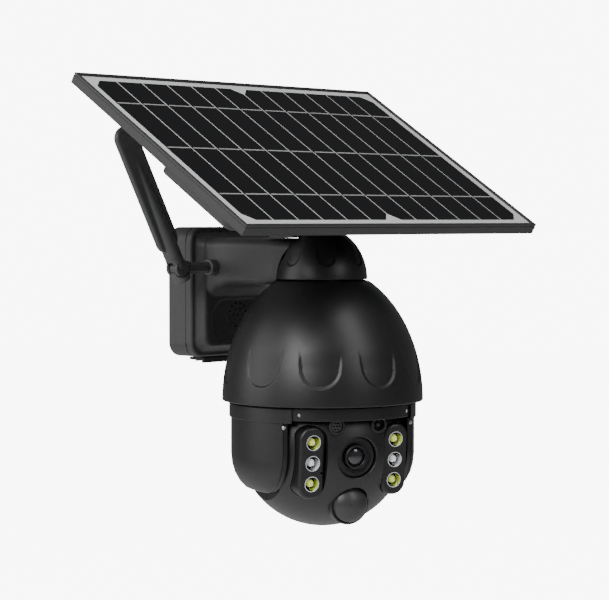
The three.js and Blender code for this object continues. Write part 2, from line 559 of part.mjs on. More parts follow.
// Panel: its group's origin is the hinge pin; Y runs up the slope and Z is square to the glass.
function solarPanel() {
  const [half, front] = [PANEL.width / 2, PANEL_ORIGIN.v];
  const back = front + PANEL.depth;
  const top = PANEL_ORIGIN.w;
  const low = top - PANEL.thick;
  const { lip, underLip } = PANEL;
  const frame = block([-half, half], [front, back], [low, top])
    .subtract(block([-half + lip, half - lip], [front + lip, back - lip], [top - 2.2, top + 1]))
    .subtract(block([-half + underLip, half - underLip], [front + underLip, back - underLip],
      [low - 1, top]));
  add(panel, 'panel_frame', frame, BLACK);
  const inset = lip + GAP;
  const glass = block([-half + inset, half - inset], [front + inset, back - inset], [top - 1.9, top - 0.4]);
  add(panel, 'cell_glass', glass, GLASS);
  const trayCentre = [0, front + (TRAY.front + TRAY.back) / 2];
  const trayDepth = TRAY.back - TRAY.front;
  const trayFloor = low - TRAY.thick;
  const tray = slab('z', roundedRect(TRAY.width, trayDepth, 6), [trayFloor, low - GAP], trayCentre);
  const room = roundedRect(TRAY.width - 5, trayDepth - 5, 4);
  const hollow = slab('z', room, [trayFloor + WALL, low], trayCentre);
  let backTray = tray.subtract(hollow);
  for (const x of [-HINGE.lugX, HINGE.lugX]) {
    const sides = [x - 2.5, x + 2.5];
    const lug = block(sides, [-HINGE.lug, HINGE.lug], [0, trayFloor + 1])
      .add(rod('x', HINGE.lug, sides, [0, 0], 24));
    backTray = backTray.add(lug.subtract(rod('x', HINGE.bore, [x - 4, x + 4], [0, 0], 16)));
  }
  add(panel, 'back_tray', backTray, BLACK);
  const box = block([-24, 24], [front + 100, front + 130], [low - 12, low - GAP]);
  const gland = rod('y', 4, [front + 101, front + 92], [0, low - 6], 12);
  add(panel, 'junction_box', box.add(gland), BLACK);
}

// Panel bracket: a foot on the arm with a hinge block between the tray's lugs, and the bolt through them.
function panelBracket() {
  const seat = ARM.high + 0.4;
  const centre = [PANEL.pivotY, PANEL.pivotZ];
  const width = [-HINGE.half, HINGE.half];
  const foot = block([-FOOT.half, FOOT.half], [FOOT.front, FOOT.back], [seat, seat + FOOT.thick]);
  const neck = new THREE.Shape();
  neck.moveTo(FOOT.back - 1, seat + 2);
  neck.lineTo(FOOT.front, seat + 2);
  neck.lineTo(PANEL.pivotY - HINGE.eyelet, PANEL.pivotZ);
  neck.lineTo(PANEL.pivotY + HINGE.eyelet, PANEL.pivotZ);
  const stem = slab('x', neck, width);
  const eyelet = rod('x', HINGE.eyelet, width, centre, 24);
  const bore = rod('x', HINGE.bore, [-20, 20], centre, 16);
  add(camera, 'panel_bracket', foot.add(stem).add(eyelet).subtract(bore), SATIN);
  const headSpan = [HINGE.lugX + 3, HINGE.reach];
  const bolt = rod('x', HINGE.bolt, [-HINGE.reach + 0.5, HINGE.reach - 0.5], centre, 16)
    .add(rod('x', HINGE.head, headSpan, centre, 6));
  add(camera, 'hinge_bolt', bolt.add(rod('x', HINGE.head, [-HINGE.reach, -headSpan[0]], centre, 6)), STEEL);
}

// Antenna: a stub on the arm's side, a knuckle that swivels on it, and a paddle hinged to the knuckle.
function antennaStub() {
  const centre = [ANTENNA.y, ANTENNA.z];
  const inner = -ARM.width / 2 - GAP;
  const stub = rod('x', 5, [-33, inner], centre, 20).add(rod('x', 3.6, [ANTENNA.stubEnd, -30], centre, 20));
  add(camera, 'antenna_stub', stub, BLACK);
}

function antennaKnuckle() {
  const [x, y, z] = [ANTENNA.pivotX, ANTENNA.y, ANTENNA.z];
  const collar = rod('x', 4.6, [x + 6, ANTENNA.stubEnd - GAP], [y, z], 20);
  const tongue = rod('y', 4.6, [y + 2.2, y - 2.2], [x, z], 20)
    .add(block([x, x + 6.5], [y - 2.2, y + 2.2], [z - 4, z + 4]));
  add(camera, 'antenna_knuckle', collar.add(tongue), BLACK);
}

function antennaBlade() {
  const [half, root, tip] = [BLADE.width / 2, BLADE.root, BLADE.length];
  const shape = new THREE.Shape();
  shape.moveTo(-half + 4, root);
  shape.quadraticCurveTo(-half, root, -half, root + 4);
  shape.lineTo(-half, tip - 7);
  shape.quadraticCurveTo(-half, tip, -half + 7, tip);
  shape.lineTo(half - 7, tip);
  shape.quadraticCurveTo(half, tip, half, tip - 7);
  shape.lineTo(half, root + 4);
  shape.quadraticCurveTo(half, root, half - 4, root);
  shape.closePath();
  let blade = slab('y', shape, [BLADE.thick / 2, -BLADE.thick / 2]);
  blade = blade.add(cone('z', [5.6, 1.6], [8, 68], [0, 0], 16));
  blade = blade.add(rod('z', 5.6, [1, 8.2], [0, 0], 16)).add(rod('y', 5.6, [5, -5], [0, 0], 20));
  blade = blade.subtract(block([-20, 20], [-2.6, 2.6], [-20, 6.2]));
  add(antenna, 'antenna_blade', blade, BLACK);
}

wallBracket();
rearShell();
boxGasket();
frontCover();
armCap();
domeShell();
batteryPack();
chargeBoard();
speaker();
solarInlet();
resetButton();
portFlap();
panDrive();
panSpindle();
yoke();
earCover('ear_cover_left', -1);
earCover('ear_cover_right', 1);
tiltDrive();
ballFront();
ballRear();
tiltAxles();
lensUnit();
lampPod(-1);
lampPod(1);
smallSensors();
motionSensor();
solarPanel();
panelBracket();
antennaStub();
antennaKnuckle();
antennaBlade();

export default camera;
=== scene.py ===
import json
from math import acos, asin, atan2, cos, hypot, pi, radians, sin, sqrt

import bmesh
import bpy
from mathutils import Matrix, Vector


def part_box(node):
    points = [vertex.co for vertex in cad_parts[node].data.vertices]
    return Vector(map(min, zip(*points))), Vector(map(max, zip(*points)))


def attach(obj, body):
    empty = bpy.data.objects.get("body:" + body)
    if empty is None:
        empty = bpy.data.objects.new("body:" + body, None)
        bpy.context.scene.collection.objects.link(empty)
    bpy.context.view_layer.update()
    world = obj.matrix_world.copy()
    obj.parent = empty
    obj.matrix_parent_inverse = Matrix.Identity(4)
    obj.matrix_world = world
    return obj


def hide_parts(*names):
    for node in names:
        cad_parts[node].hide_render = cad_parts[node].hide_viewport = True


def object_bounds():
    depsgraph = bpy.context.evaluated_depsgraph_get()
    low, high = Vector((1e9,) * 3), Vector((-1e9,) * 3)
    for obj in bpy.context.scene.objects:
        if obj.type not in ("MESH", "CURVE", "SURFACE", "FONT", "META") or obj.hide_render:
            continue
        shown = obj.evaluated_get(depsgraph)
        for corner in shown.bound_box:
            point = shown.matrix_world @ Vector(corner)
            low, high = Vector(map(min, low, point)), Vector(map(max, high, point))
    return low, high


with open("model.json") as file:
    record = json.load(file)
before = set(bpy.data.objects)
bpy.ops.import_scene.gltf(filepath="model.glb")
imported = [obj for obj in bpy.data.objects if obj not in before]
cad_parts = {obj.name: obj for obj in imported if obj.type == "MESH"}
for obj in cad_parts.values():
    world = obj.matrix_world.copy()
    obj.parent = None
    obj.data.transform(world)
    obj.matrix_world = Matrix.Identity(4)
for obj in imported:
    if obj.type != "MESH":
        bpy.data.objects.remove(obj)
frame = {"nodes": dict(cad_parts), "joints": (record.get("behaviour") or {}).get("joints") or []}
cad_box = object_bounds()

# Studio: a pale floor far below the object, a pale sky and three large soft boxes round its front.
# The viewpoint stands on the left of the object, almost level with it.
VIEW_TURN = radians(-46.57)
VIEW_DIP = radians(2.24)
VIEW_PLACE = (-0.9470, -0.9858, 0.0469)
LENS_LENGTH = 123.27
SWEEP_COLOUR = (0.93, 0.93, 0.94, 1)

bpy.ops.object.select_all(action="DESELECT")
bpy.ops.object.camera_add(location=VIEW_PLACE, rotation=(pi / 2 - VIEW_DIP, 0, VIEW_TURN))
viewpoint = bpy.context.object
viewpoint.name = "viewpoint"
viewpoint.data.lens = LENS_LENGTH
viewpoint.data.clip_start = 0.02
bpy.context.scene.camera = viewpoint


def seen_directly(tree, socket, otherwise, directly):
    """Sets a strength that differs between what is seen directly and what only lights the object."""
    rays = tree.nodes.new("ShaderNodeLightPath")
    choice = tree.nodes.new("ShaderNodeMapRange")
    choice.inputs["To Min"].default_value = otherwise
    choice.inputs["To Max"].default_value = directly
    tree.links.new(rays.outputs["Is Camera Ray"], choice.inputs["Value"])
    tree.links.new(choice.outputs["Result"], socket)


pale_floor = bpy.data.materials.new("pale_floor")
pale_floor.use_nodes = True
floor_shader = pale_floor.node_tree.nodes["Principled BSDF"]
floor_shader.inputs["Base Color"].default_value = SWEEP_COLOUR
floor_shader.inputs["Roughness"].default_value = 0.95
floor_shader.inputs["Emission Color"].default_value = SWEEP_COLOUR
seen_directly(pale_floor.node_tree, floor_shader.inputs["Emission Strength"], 0.0, 9.0)


FLOOR_LEVEL = cad_box[0][2] - 0.45
bpy.ops.mesh.primitive_plane_add(size=14, location=(0, 0, FLOOR_LEVEL))
floor = bpy.context.object
floor.name = "floor"
floor.data.materials.append(pale_floor)

sky = bpy.data.worlds.new("pale_sky")
bpy.context.scene.world = sky
sky.use_nodes = True
sky.node_tree.nodes["Background"].inputs["Color"].default_value = (0.93, 0.935, 0.95, 1)
seen_directly(sky.node_tree, sky.node_tree.nodes["Background"].inputs["Strength"], 0.20, 9.3)


def soft_box(name, turn, rise, reach, size, power):
    """A tall lamp seen from the object at a turn from straight ahead and a rise above level."""
    target = Vector((0, -0.105, -0.02))
    towards = Vector((sin(turn) * cos(rise), -cos(turn) * cos(rise), sin(rise)))
    bpy.ops.object.light_add(type="AREA", location=target + towards * reach)
    lamp = bpy.context.object
    lamp.name = name
    lamp.rotation_euler = towards.to_track_quat("Z", "Y").to_euler()
    lamp.data.shape = "RECTANGLE"
    lamp.data.size, lamp.data.size_y = size
    lamp.data.energy = power


soft_box("soft_box_left", VIEW_TURN - radians(31), radians(40), 1.5, (0.7, 1.6), 44)
soft_box("soft_box_right", VIEW_TURN + radians(47), radians(40), 1.5, (0.5, 1.6), 15)
soft_box("soft_box_side", VIEW_TURN - radians(80), radians(14), 1.5, (1.1, 1.1), 12)


# Moulded black casings: satin charcoal plastic with a very fine grain. The same small set of
# modelling steps is used for every piece, so they are kept here with the first finish.
def finish_nodes(name, colour, roughness, metallic=0.0, grain=0.0, grain_scale=900.0, mottle=0.0):
    made = bpy.data.materials.new(name)
    made.use_nodes = True
    nodes, links = made.node_tree.nodes, made.node_tree.links
    shader = nodes["Principled BSDF"]
    shader.inputs["Metallic"].default_value = metallic
    shader.inputs["Specular IOR Level"].default_value = 0.36
    places = nodes.new("ShaderNodeTexCoord")
    clouds = nodes.new("ShaderNodeTexNoise")
    clouds.inputs["Scale"].default_value = 38.0
    clouds.inputs["Detail"].default_value = 4.0
    links.new(places.outputs["Object"], clouds.inputs["Vector"])
    shade = nodes.new("ShaderNodeValToRGB")
    shade.color_ramp.elements[0].position = 0.3
    shade.color_ramp.elements[1].position = 0.7
    for end, swing in ((0, 1.0 - mottle), (1, 1.0 + mottle)):
        shade.color_ramp.elements[end].color = (*[channel * swing for channel in colour], 1)
    links.new(clouds.outputs["Fac"], shade.inputs["Fac"])
    links.new(shade.outputs["Color"], shader.inputs["Base Color"])
    polish = nodes.new("ShaderNodeMapRange")
    polish.inputs["To Min"].default_value = roughness - 0.04
    polish.inputs["To Max"].default_value = roughness + 0.04
    links.new(clouds.outputs["Fac"], polish.inputs["Value"])
    links.new(polish.outputs["Result"], shader.inputs["Roughness"])
    if grain:
        pores = nodes.new("ShaderNodeTexNoise")
        pores.inputs["Scale"].default_value = grain_scale
        pores.inputs["Detail"].default_value = 2.0
        bump = nodes.new("ShaderNodeBump")
        bump.inputs["Strength"].default_value = grain
        bump.inputs["Distance"].default_value = 0.0004
        links.new(places.outputs["Object"], pores.inputs["Vector"])
        links.new(pores.outputs["Fac"], bump.inputs["Height"])
        links.new(bump.outputs["Normal"], shader.inputs["Normal"])
    return made


SATIN = finish_nodes("satin_casing", (0.0045, 0.0045, 0.0048), 0.40, grain=0.05, grain_scale=1400,
                     mottle=0.06)
MATT = finish_nodes("matt_casing", (0.022, 0.022, 0.0228), 0.50, grain=0.08, grain_scale=1100,
                    mottle=0.08)


def only(piece):
    if bpy.context.object and bpy.context.object.mode != "OBJECT":
        bpy.ops.object.mode_set(mode="OBJECT")
    bpy.ops.object.select_all(action="DESELECT")
    piece.select_set(True)
    bpy.context.view_layer.objects.active = piece


def apply_all(piece):
    only(piece)
    for modifier in list(piece.modifiers):
        bpy.ops.object.modifier_apply(modifier=modifier.name)


def bevel(piece, width, segments=3, angle=30):
    modifier = piece.modifiers.new("edges", "BEVEL")
    modifier.width = width
    modifier.segments = segments
    modifier.limit_method = "ANGLE"
    modifier.angle_limit = radians(angle)
    modifier.harden_normals = False


def combine(piece, other, operation):
    """Joins to the piece, or cuts from it, another closed shape, which is then gone."""
    modifier = piece.modifiers.new("join", "BOOLEAN")
    modifier.operation = operation
    modifier.solver = "EXACT"
    modifier.object = other
    apply_all(piece)
    bpy.data.objects.remove(other)


def cut(piece, other):
    combine(piece, other, "DIFFERENCE")


def weld(piece, other):
    combine(piece, other, "UNION")


def settle(piece, name, finish, body, stands_for=(), place=None, smooth=35):
    """Bakes the piece's place into its mesh, gives it its finish and lets it ride on its body."""
    apply_all(piece)
    if place is not None:
        piece.matrix_world = place @ piece.matrix_world
    bpy.context.view_layer.update()
    only(piece)
    bpy.ops.object.transform_apply(location=True, rotation=True, scale=True)
    bpy.ops.object.shade_smooth_by_angle(angle=radians(smooth))
    piece.modifiers.new("flat_faces", "WEIGHTED_NORMAL").keep_sharp = True
    bpy.ops.object.modifier_apply(modifier="flat_faces")
    piece.name = name
    piece.data.name = name
    piece.data.materials.clear()
    piece.data.materials.append(finish)
    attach(piece, body)
    if stands_for:
        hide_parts(*stands_for)
    return piece


def cuboid(low, high):
    low, high = Vector(low), Vector(high)
    bpy.ops.mesh.primitive_cube_add(size=1, location=(low + high) / 2)
    piece = bpy.context.object
    piece.scale = high - low
    bpy.ops.object.transform_apply(location=True, rotation=False, scale=True)
    return piece


def round_rod(axis, radius, start, end, centre, sides=48):
    """A rod along a named axis; centre holds the other two coordinates in order."""
    turns = {"x": (0, pi / 2, 0), "y": (pi / 2, 0, 0), "z": (0, 0, 0)}
    middle = (start + end) / 2
    across = list(centre)
    across.insert("xyz".index(axis), middle)
    bpy.ops.mesh.primitive_cylinder_add(vertices=sides, radius=radius, depth=abs(end - start),
                                        location=across, rotation=turns[axis])
    piece = bpy.context.object
    bpy.ops.object.transform_apply(location=True, rotation=True, scale=False)
    return piece


def pick_edges(piece, wanted):
    """Opens the piece in edit mode with only the edges selected that pass the test."""
    only(piece)
    bpy.ops.object.mode_set(mode="EDIT")
    bpy.ops.mesh.select_all(action="DESELECT")
    shape = bmesh.from_edit_mesh(piece.data)
    for edge in shape.edges:
        if wanted(*(vertex.co for vertex in edge.verts)):
            edge.select_set(True)
    bmesh.update_edit_mesh(piece.data)


def round_edges(piece, wanted, width, segments):
    pick_edges(piece, wanted)
    bpy.ops.mesh.bevel(offset=width, segments=segments, affect="EDGES", offset_type="OFFSET")
    bpy.ops.object.mode_set(mode="OBJECT")


def rounded_slab(width, height, corner, start, end, centre=(0, 0), axis="y"):
    """A plate with rounded corners, square to a named axis, from start to end along it."""
    across = "xyz".index(axis)
    low = [centre[0] - width / 2, centre[1] - height / 2]
    high = [centre[0] + width / 2, centre[1] + height / 2]
    low.insert(across, min(start, end))
    high.insert(across, max(start, end))
    piece = cuboid(low, high)
    round_edges(piece, lambda one, other: abs(one[across] - other[across]) > 1e-6, corner, 10)
    return piece


def turned(profile, sides=96, closed=False):
    """A shape turned about Z: a ring is extruded and scaled from one [radius, height] to the next."""
    radius, height = profile[0]
    bpy.ops.mesh.primitive_circle_add(vertices=sides, radius=max(radius, 1e-5), location=(0, 0, height))
    piece = bpy.context.object
    bpy.ops.object.transform_apply(location=True)
    bpy.ops.object.mode_set(mode="EDIT")
    bpy.ops.mesh.select_all(action="SELECT")
    for (before, low), (after, high) in zip(profile, profile[1:]):
        bpy.ops.mesh.extrude_region_move(TRANSFORM_OT_translate={"value": (0, 0, high - low)})
        scale = max(after, 1e-5) / max(before, 1e-5)
        bpy.ops.transform.resize(value=(scale, scale, 1), center_override=(0, 0, high))
    bpy.ops.mesh.select_all(action="SELECT")
    bpy.ops.mesh.remove_doubles(threshold=2e-5)
    if not closed:
        bpy.ops.mesh.select_all(action="DESELECT")
        bpy.ops.mesh.select_non_manifold()
        bpy.ops.mesh.fill_holes(sides=0)
    bpy.ops.mesh.select_all(action="SELECT")
    bpy.ops.mesh.normals_make_consistent(inside=False)
    bpy.ops.object.mode_set(mode="OBJECT")
    return piece


def arc(centre, radius, start, end, steps):
    """Points of a round stretch of a profile, angles in degrees from the outward radius."""
    turn = [radians(start + (end - start) * step / steps) for step in range(steps + 1)]
    return [(centre[0] + radius * cos(angle), centre[1] + radius * sin(angle)) for angle in turn]


# Joint frames: the head, the ball, the panel and the antenna are modelled square and then turned to rest.
# Their places come from the joints, and so does the turn of the head.
joint = {row["name"]: row for row in frame["joints"]}
HEAD_TURN = atan2(joint["tilt"]["axis"][1], joint["tilt"]["axis"][0])
FACE_TILT = radians(6)
PANEL_SLOPE = radians(32.2)
ANTENNA_LEAN = radians(28.2)
HEAD = Matrix.Translation((*joint["pan"]["pos_m"][:2], 0)) @ Matrix.Rotation(HEAD_TURN, 4, "Z")
EYE = Matrix.Translation(joint["tilt"]["pos_m"]) @ Matrix.Rotation(HEAD_TURN, 4, "Z") \
    @ Matrix.Rotation(FACE_TILT, 4, "X")
PANEL = Matrix.Translation(joint["panel_tilt"]["pos_m"]) @ Matrix.Rotation(PANEL_SLOPE, 4, "X")
PADDLE = Matrix.Translation(joint["antenna_fold"]["pos_m"]) @ Matrix.Rotation(-ANTENNA_LEAN, 4, "Y")


# Dome shell: the fixed upper casing, a moulded dome with ten scooped petals around its skirt.
# It is turned from its profile, and each petal is pressed in with a crisp U-shaped edge.
DOME_AXIS = (0, -0.1048)
DOME_TOP = 0.0087
DOME_LOW = -0.0655
DOME_RADIUS = 0.0624
DOME_RISE = 0.0833
DOME_WALL = 0.0026
PETALS = 10
PETAL_TURN = radians(-48.3)
PETAL_TOP = -0.0290
PETAL_LOW = -0.0540
PETAL_DEPTH = 0.0009


def swell(radius, low, rise, height):
    """The outline of a moulded dome: half an ellipse that stands on its rim."""
    return radius * sqrt(1 - ((height - low) / rise) ** 2)


def dome_radius(height):
    return swell(DOME_RADIUS, DOME_LOW, DOME_RISE, height)


def press_petals(piece, count, turn, top, low, half_top, half_low, depth):
    """Presses U-shaped scoops into a turned shell; they start flush at the top and deepen downwards."""
    pitch = 2 * pi / count
    for vertex in piece.data.vertices:
        x, y, z = vertex.co
        radius = hypot(x, y)
        if radius < 1e-4 or not low - 0.002 < z < top:
            continue
        around = (atan2(x, -y) - turn + pitch / 2) % pitch - pitch / 2
        side = abs(around) * radius
        share = (top - z) / (top - low)
        half = half_top + (half_low - half_top) * share
        inside = (half - hypot(side, max(0.0, low + half_low - z))) / 0.0008
        mask = min(1.0, max(0.0, inside + 0.5))
        mask = mask * mask * (3 - 2 * mask)
        fade = min(1.0, share * 1.7)
        move = depth * mask * fade * fade * (3 - 2 * fade)
        scale = (radius - move) / radius
        vertex.co.x, vertex.co.y = x * scale, y * scale


steps = 100
dome_profile = [(0.0, DOME_TOP - 0.0001), (0.016, DOME_TOP), (0.0272, DOME_TOP),
                (0.0282, DOME_TOP - 0.0002)]
for step in range(steps + 1):
    height = DOME_TOP - 0.0006 - (DOME_TOP - 0.0006 - DOME_LOW - 0.0008) * (step / steps) ** 0.8
    dome_profile.append((dome_radius(height), height))
dome_profile += arc((DOME_RADIUS - 0.0008, DOME_LOW + 0.0008), 0.0008, -10, -90, 4)
dome_profile.append((DOME_RADIUS - DOME_WALL, DOME_LOW))
for height in (-0.052, -0.036, -0.025, -0.012, -0.004):
    dome_profile.append((dome_radius(height) - DOME_WALL, height - (0.002 if height > -0.03 else 0)))
dome_profile.append((0.02, DOME_TOP - 0.0046))
dome_profile.append((0.0, DOME_TOP - 0.0046))
dome = turned(dome_profile, sides=480)
press_petals(dome, PETALS, PETAL_TURN, PETAL_TOP, PETAL_LOW, 0.0130, 0.0112, PETAL_DEPTH)
settle(dome, "dome_casing", SATIN, "mount", ["dome_shell"],
       place=Matrix.Translation((*DOME_AXIS, 0)), smooth=50)


# Arm cap: the small fluted dome that closes the end of the arm, with seven petals.
# A flat seat in its top carries the foot of the panel bracket.
CAP_AXIS = (0, -0.104)
CAP_LOW = 0.0093
CAP_TOP = 0.037
CAP_RADIUS = 0.0284
CAP_RISE = 0.0324


def cap_rows(gap, low):
    """The cap's outline from the edge of its flat top down to its rim, grown by a gap all round."""
    rows = [CAP_TOP + gap - (CAP_TOP + gap - low) * (step / 60) ** 0.9 for step in range(1, 61)]
    return [(swell(CAP_RADIUS + gap, CAP_LOW, CAP_RISE + gap, height), height) for height in rows]


cap_profile = [(0.0, CAP_TOP), (0.0125, CAP_TOP), (0.0140, CAP_TOP - 0.0001)]
cap_profile += cap_rows(0.0, CAP_LOW + 0.0006)
cap_profile += arc((CAP_RADIUS - 0.0006, CAP_LOW + 0.0006), 0.0006, -15, -90, 4)
cap_profile += [(0.0256, CAP_LOW), (0.0254, 0.012), (0.0240, 0.018), (0.0200, 0.025), (0.011, 0.0315),
                (0, 0.0318)]
cap = turned(cap_profile, sides=320)
press_petals(cap, 7, radians(-40.3), 0.0340, 0.0180, 0.0062, 0.0050, 0.0007)
cap.matrix_world = Matrix.Translation((*CAP_AXIS, 0))
bpy.context.view_layer.update()
only(cap)
bpy.ops.object.transform_apply()
cut(cap, rounded_slab(0.0478, 0.0236, 0.009, -0.095, -0.07, (0, 0.0208)))
cut(cap, cuboid((-0.0223, -0.1003, 0.0347), (0.0223, -0.07, 0.04)))
settle(cap, "arm_end_cap", SATIN, "mount", ["arm_cap"], smooth=50)


# Box: a shallow moulded rear shell on the wall bracket, with openings for the inlet, button and socket.
# The lid closes it, with a rubber gasket between.
BOX_WIDTH = 0.072
BOX_HEIGHT = 0.083
BOX_CORNER = 0.009
BOX_WALL = 0.0024
BOX_BACK = -0.0023
BOX_SPLIT = -0.019
INLET_PLACE = (-0.011, -0.020)
BUTTON_PLACE = (0.012, -0.014)

shell = rounded_slab(BOX_WIDTH, BOX_HEIGHT, BOX_CORNER, BOX_SPLIT, BOX_BACK)
round_edges(shell, lambda one, other: min(one.y, other.y) > BOX_BACK - 1e-5, 0.0022, 5)
cut(shell, rounded_slab(BOX_WIDTH - 2 * BOX_WALL, BOX_HEIGHT - 2 * BOX_WALL, BOX_CORNER - BOX_WALL,
                        BOX_SPLIT - 0.002, BOX_BACK - BOX_WALL))
cut(shell, round_rod("x", 0.005, BOX_WIDTH / 2 - 0.004, BOX_WIDTH / 2 + 0.002, INLET_PLACE))
cut(shell, round_rod("z", 0.0024, -0.043, -0.037, BUTTON_PLACE))
cut(shell, cuboid((-0.010, -0.016, -0.043), (0.004, -0.012, -0.037)))
settle(shell, "rear_casing", MATT, "mount", ["rear_shell"])


# Wall bracket: a zinc plated steel plate with two screw holes, which lies flat on the wall.
# The rear shell stands in front of it.
STEEL = finish_nodes("zinc_plate", (0.42, 0.43, 0.44), 0.34, metallic=1.0, grain=0.12, grain_scale=500,
                     mottle=0.12)
bracket = rounded_slab(0.058, 0.066, 0.006, -0.002, 0.0)
for height in (-0.022, 0.022):
    cut(bracket, round_rod("y", 0.0026, 0.002, -0.004, (0, height), sides=32))
bevel(bracket, 0.0004, 2)
settle(bracket, "wall_plate", STEEL, "mount", ["wall_bracket"])


# Lid and arm: one moulding. The lid's middle rises from its rim in a slope, and the arm grows out of the
# middle with a wide flare, above the speaker's holes. It is remeshed so that every corner flows, and then
# cut to the outlines of the cap and the dome.
LID_BACK = -0.0206
LID_FRONT = -0.0235
SKIRT_WALL = 0.0013
ARM_LOW = 0.0058
CAP_GAP = 0.0003
DOME_GAP = 0.0004
SPEAKER_LEVEL = -0.015
SPEAKER_HOLE = 0.00075


def grow_front(piece, start, start_size, centre, stations):
    """Extrudes the front face of a slab forward through stations of (y, width, low, high)."""
    only(piece)
    bpy.ops.object.mode_set(mode="EDIT")
    bpy.ops.mesh.select_all(action="DESELECT")
    bpy.ops.mesh.select_mode(type="FACE")
    shape = bmesh.from_edit_mesh(piece.data)
    for face in shape.faces:
        if face.normal.y < -0.9 and abs(face.calc_center_median().y - start) < 1e-4:
            face.select_set(True)
    bmesh.update_edit_mesh(piece.data)
    (width, height), middle = start_size, centre
    y = start
    for station, new_width, low, high in stations:
        bpy.ops.mesh.extrude_region_move(
            TRANSFORM_OT_translate={"value": (0, station - y, (low + high) / 2 - middle)})
        middle = (low + high) / 2
        bpy.ops.transform.resize(value=(new_width / width, 1, (high - low) / height),
                                 center_override=(0, station, middle))
        width, height, y = new_width, high - low, station
    bpy.ops.mesh.select_mode(type="VERT")
    bpy.ops.mesh.select_all(action="SELECT")
    bpy.ops.mesh.normals_make_consistent(inside=False)
    bpy.ops.object.mode_set(mode="OBJECT")


def flow(piece, voxel, rounds, strength=0.5):
    """Remeshes a joined shape evenly and relaxes it, so that its corners and joins run smooth."""
    modifier = piece.modifiers.new("even", "REMESH")
    modifier.mode = "VOXEL"
    modifier.voxel_size = voxel
    modifier = piece.modifiers.new("relax", "SMOOTH")
    modifier.factor = strength
    modifier.iterations = rounds
    apply_all(piece)


lid = rounded_slab(BOX_WIDTH, BOX_HEIGHT, BOX_CORNER, LID_FRONT, LID_BACK)
grow_front(lid, LID_FRONT, (BOX_WIDTH, BOX_HEIGHT), 0, [(LID_FRONT - 0.0012, 0.0700, -0.0405, 0.0405)])
skirt = rounded_slab(BOX_WIDTH, BOX_HEIGHT, BOX_CORNER, LID_BACK, -0.0192)
cut(skirt, rounded_slab(BOX_WIDTH - 2 * SKIRT_WALL, BOX_HEIGHT - 2 * SKIRT_WALL, BOX_CORNER - SKIRT_WALL,
                        LID_BACK - 0.001, -0.018))
weld(lid, skirt)
middle = rounded_slab(0.0680, 0.0790, 0.008, -0.0240, LID_BACK)
grow_front(middle, -0.0240, (0.0680, 0.0790), 0, [(-0.0252, 0.0652, -0.0378, 0.0378),
                                                  (-0.0275, 0.0620, -0.0361, 0.0363),
                                                  (-0.0298, 0.0594, -0.0349, 0.0353),
                                                  (-0.0307, 0.0574, -0.0342, 0.0348),
                                                  (-0.0310, 0.0550, -0.0334, 0.0342)])
weld(lid, middle)
arm = rounded_slab(0.0580, 0.0400, 0.0075, -0.0290, LID_BACK, (0, 0.0150))
grow_front(arm, -0.0290, (0.0580, 0.0400), 0.0150, [(-0.0325, 0.0562, -0.0012, 0.0349),
                                                    (-0.0365, 0.0545, 0.0026, 0.0347),
                                                    (-0.0420, 0.0530, 0.0045, 0.0346),
                                                    (-0.0500, 0.0522, 0.0055, 0.0345),
                                                    (-0.0620, 0.0516, ARM_LOW, 0.0344),
                                                    (-0.0840, 0.0500, ARM_LOW, 0.0340),
                                                    (-0.0980, 0.0420, ARM_LOW, 0.0325)])
weld(lid, arm)
cut(lid, rounded_slab(0.0572, 0.0700, 0.0076, -0.0286, -0.0190))
cut(lid, rounded_slab(0.0440, 0.0210, 0.0070, -0.1000, -0.0190, (0, 0.0200)))
cut(lid, rounded_slab(0.0470, 0.0280, 0.0125, -0.0340, -0.0303, (0, -0.0185)))
flow(lid, 0.0006, 3)
room = turned([(0.0, 0.0400), (0.0145, 0.0400)] + cap_rows(CAP_GAP, CAP_LOW)
              + [(CAP_RADIUS + CAP_GAP, 0.0), (0.0, 0.0)], sides=160)
room.matrix_world = Matrix.Translation((*CAP_AXIS, 0))
cut(lid, room)
shoulder = [(swell(DOME_RADIUS + DOME_GAP, DOME_LOW, DOME_RISE + DOME_GAP, step * 0.001), step * 0.001)
            for step in range(8, -21, -1)]
room = turned([(0.0, 0.0090), (0.0285, 0.0090)] + shoulder + [(0.0, -0.0200)], sides=160)
room.matrix_world = Matrix.Translation((*DOME_AXIS, 0))
cut(lid, room)
holes = [(0.0, 0.0)]
for reach, count, offset in ((0.0038, 6, 0), (0.0076, 12, pi / 12)):
    holes += [(reach * cos(offset + turn * 2 * pi / count), reach * sin(offset + turn * 2 * pi / count))
              for turn in range(count)]
drills = [round_rod("y", SPEAKER_HOLE, -0.036, -0.026, (x, SPEAKER_LEVEL + z), sides=12) for x, z in holes]
only(drills[0])
for drill in drills:
    drill.select_set(True)
bpy.ops.object.join()
cut(lid, bpy.context.object)
settle(lid, "lid_and_arm", MATT, "mount", ["front_cover"], smooth=45)


# Rubber flap under the box: it covers the charging socket and the reset button and has a finger lip.
# It swings on a round hinge bead, and the button is a stepped rubber key beside the socket.
RUBBER = finish_nodes("black_rubber", (0.022, 0.022, 0.0225), 0.72, grain=0.2, grain_scale=700, mottle=0.1)
low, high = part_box("port_flap")
flap = cuboid((low.x, low.y + 0.0014, high.z - 0.0018), (high.x, -0.008, high.z))
weld(flap, round_rod("x", 0.0015, -0.016, 0.016, (-0.008, -0.0439), sides=24))
weld(flap, cuboid((low.x, low.y, high.z - 0.0034), (high.x, low.y + 0.0022, high.z)))
bevel(flap, 0.0005, 3)
settle(flap, "socket_flap", RUBBER, "port_flap", ["port_flap"])

button = round_rod("z", 0.002, -0.0419, -0.0375, BUTTON_PLACE)
weld(button, round_rod("z", 0.0034, -0.0385, -0.0375, BUTTON_PLACE))
bevel(button, 0.0003, 3)
settle(button, "reset_key", RUBBER, "reset_button", ["reset_button"])


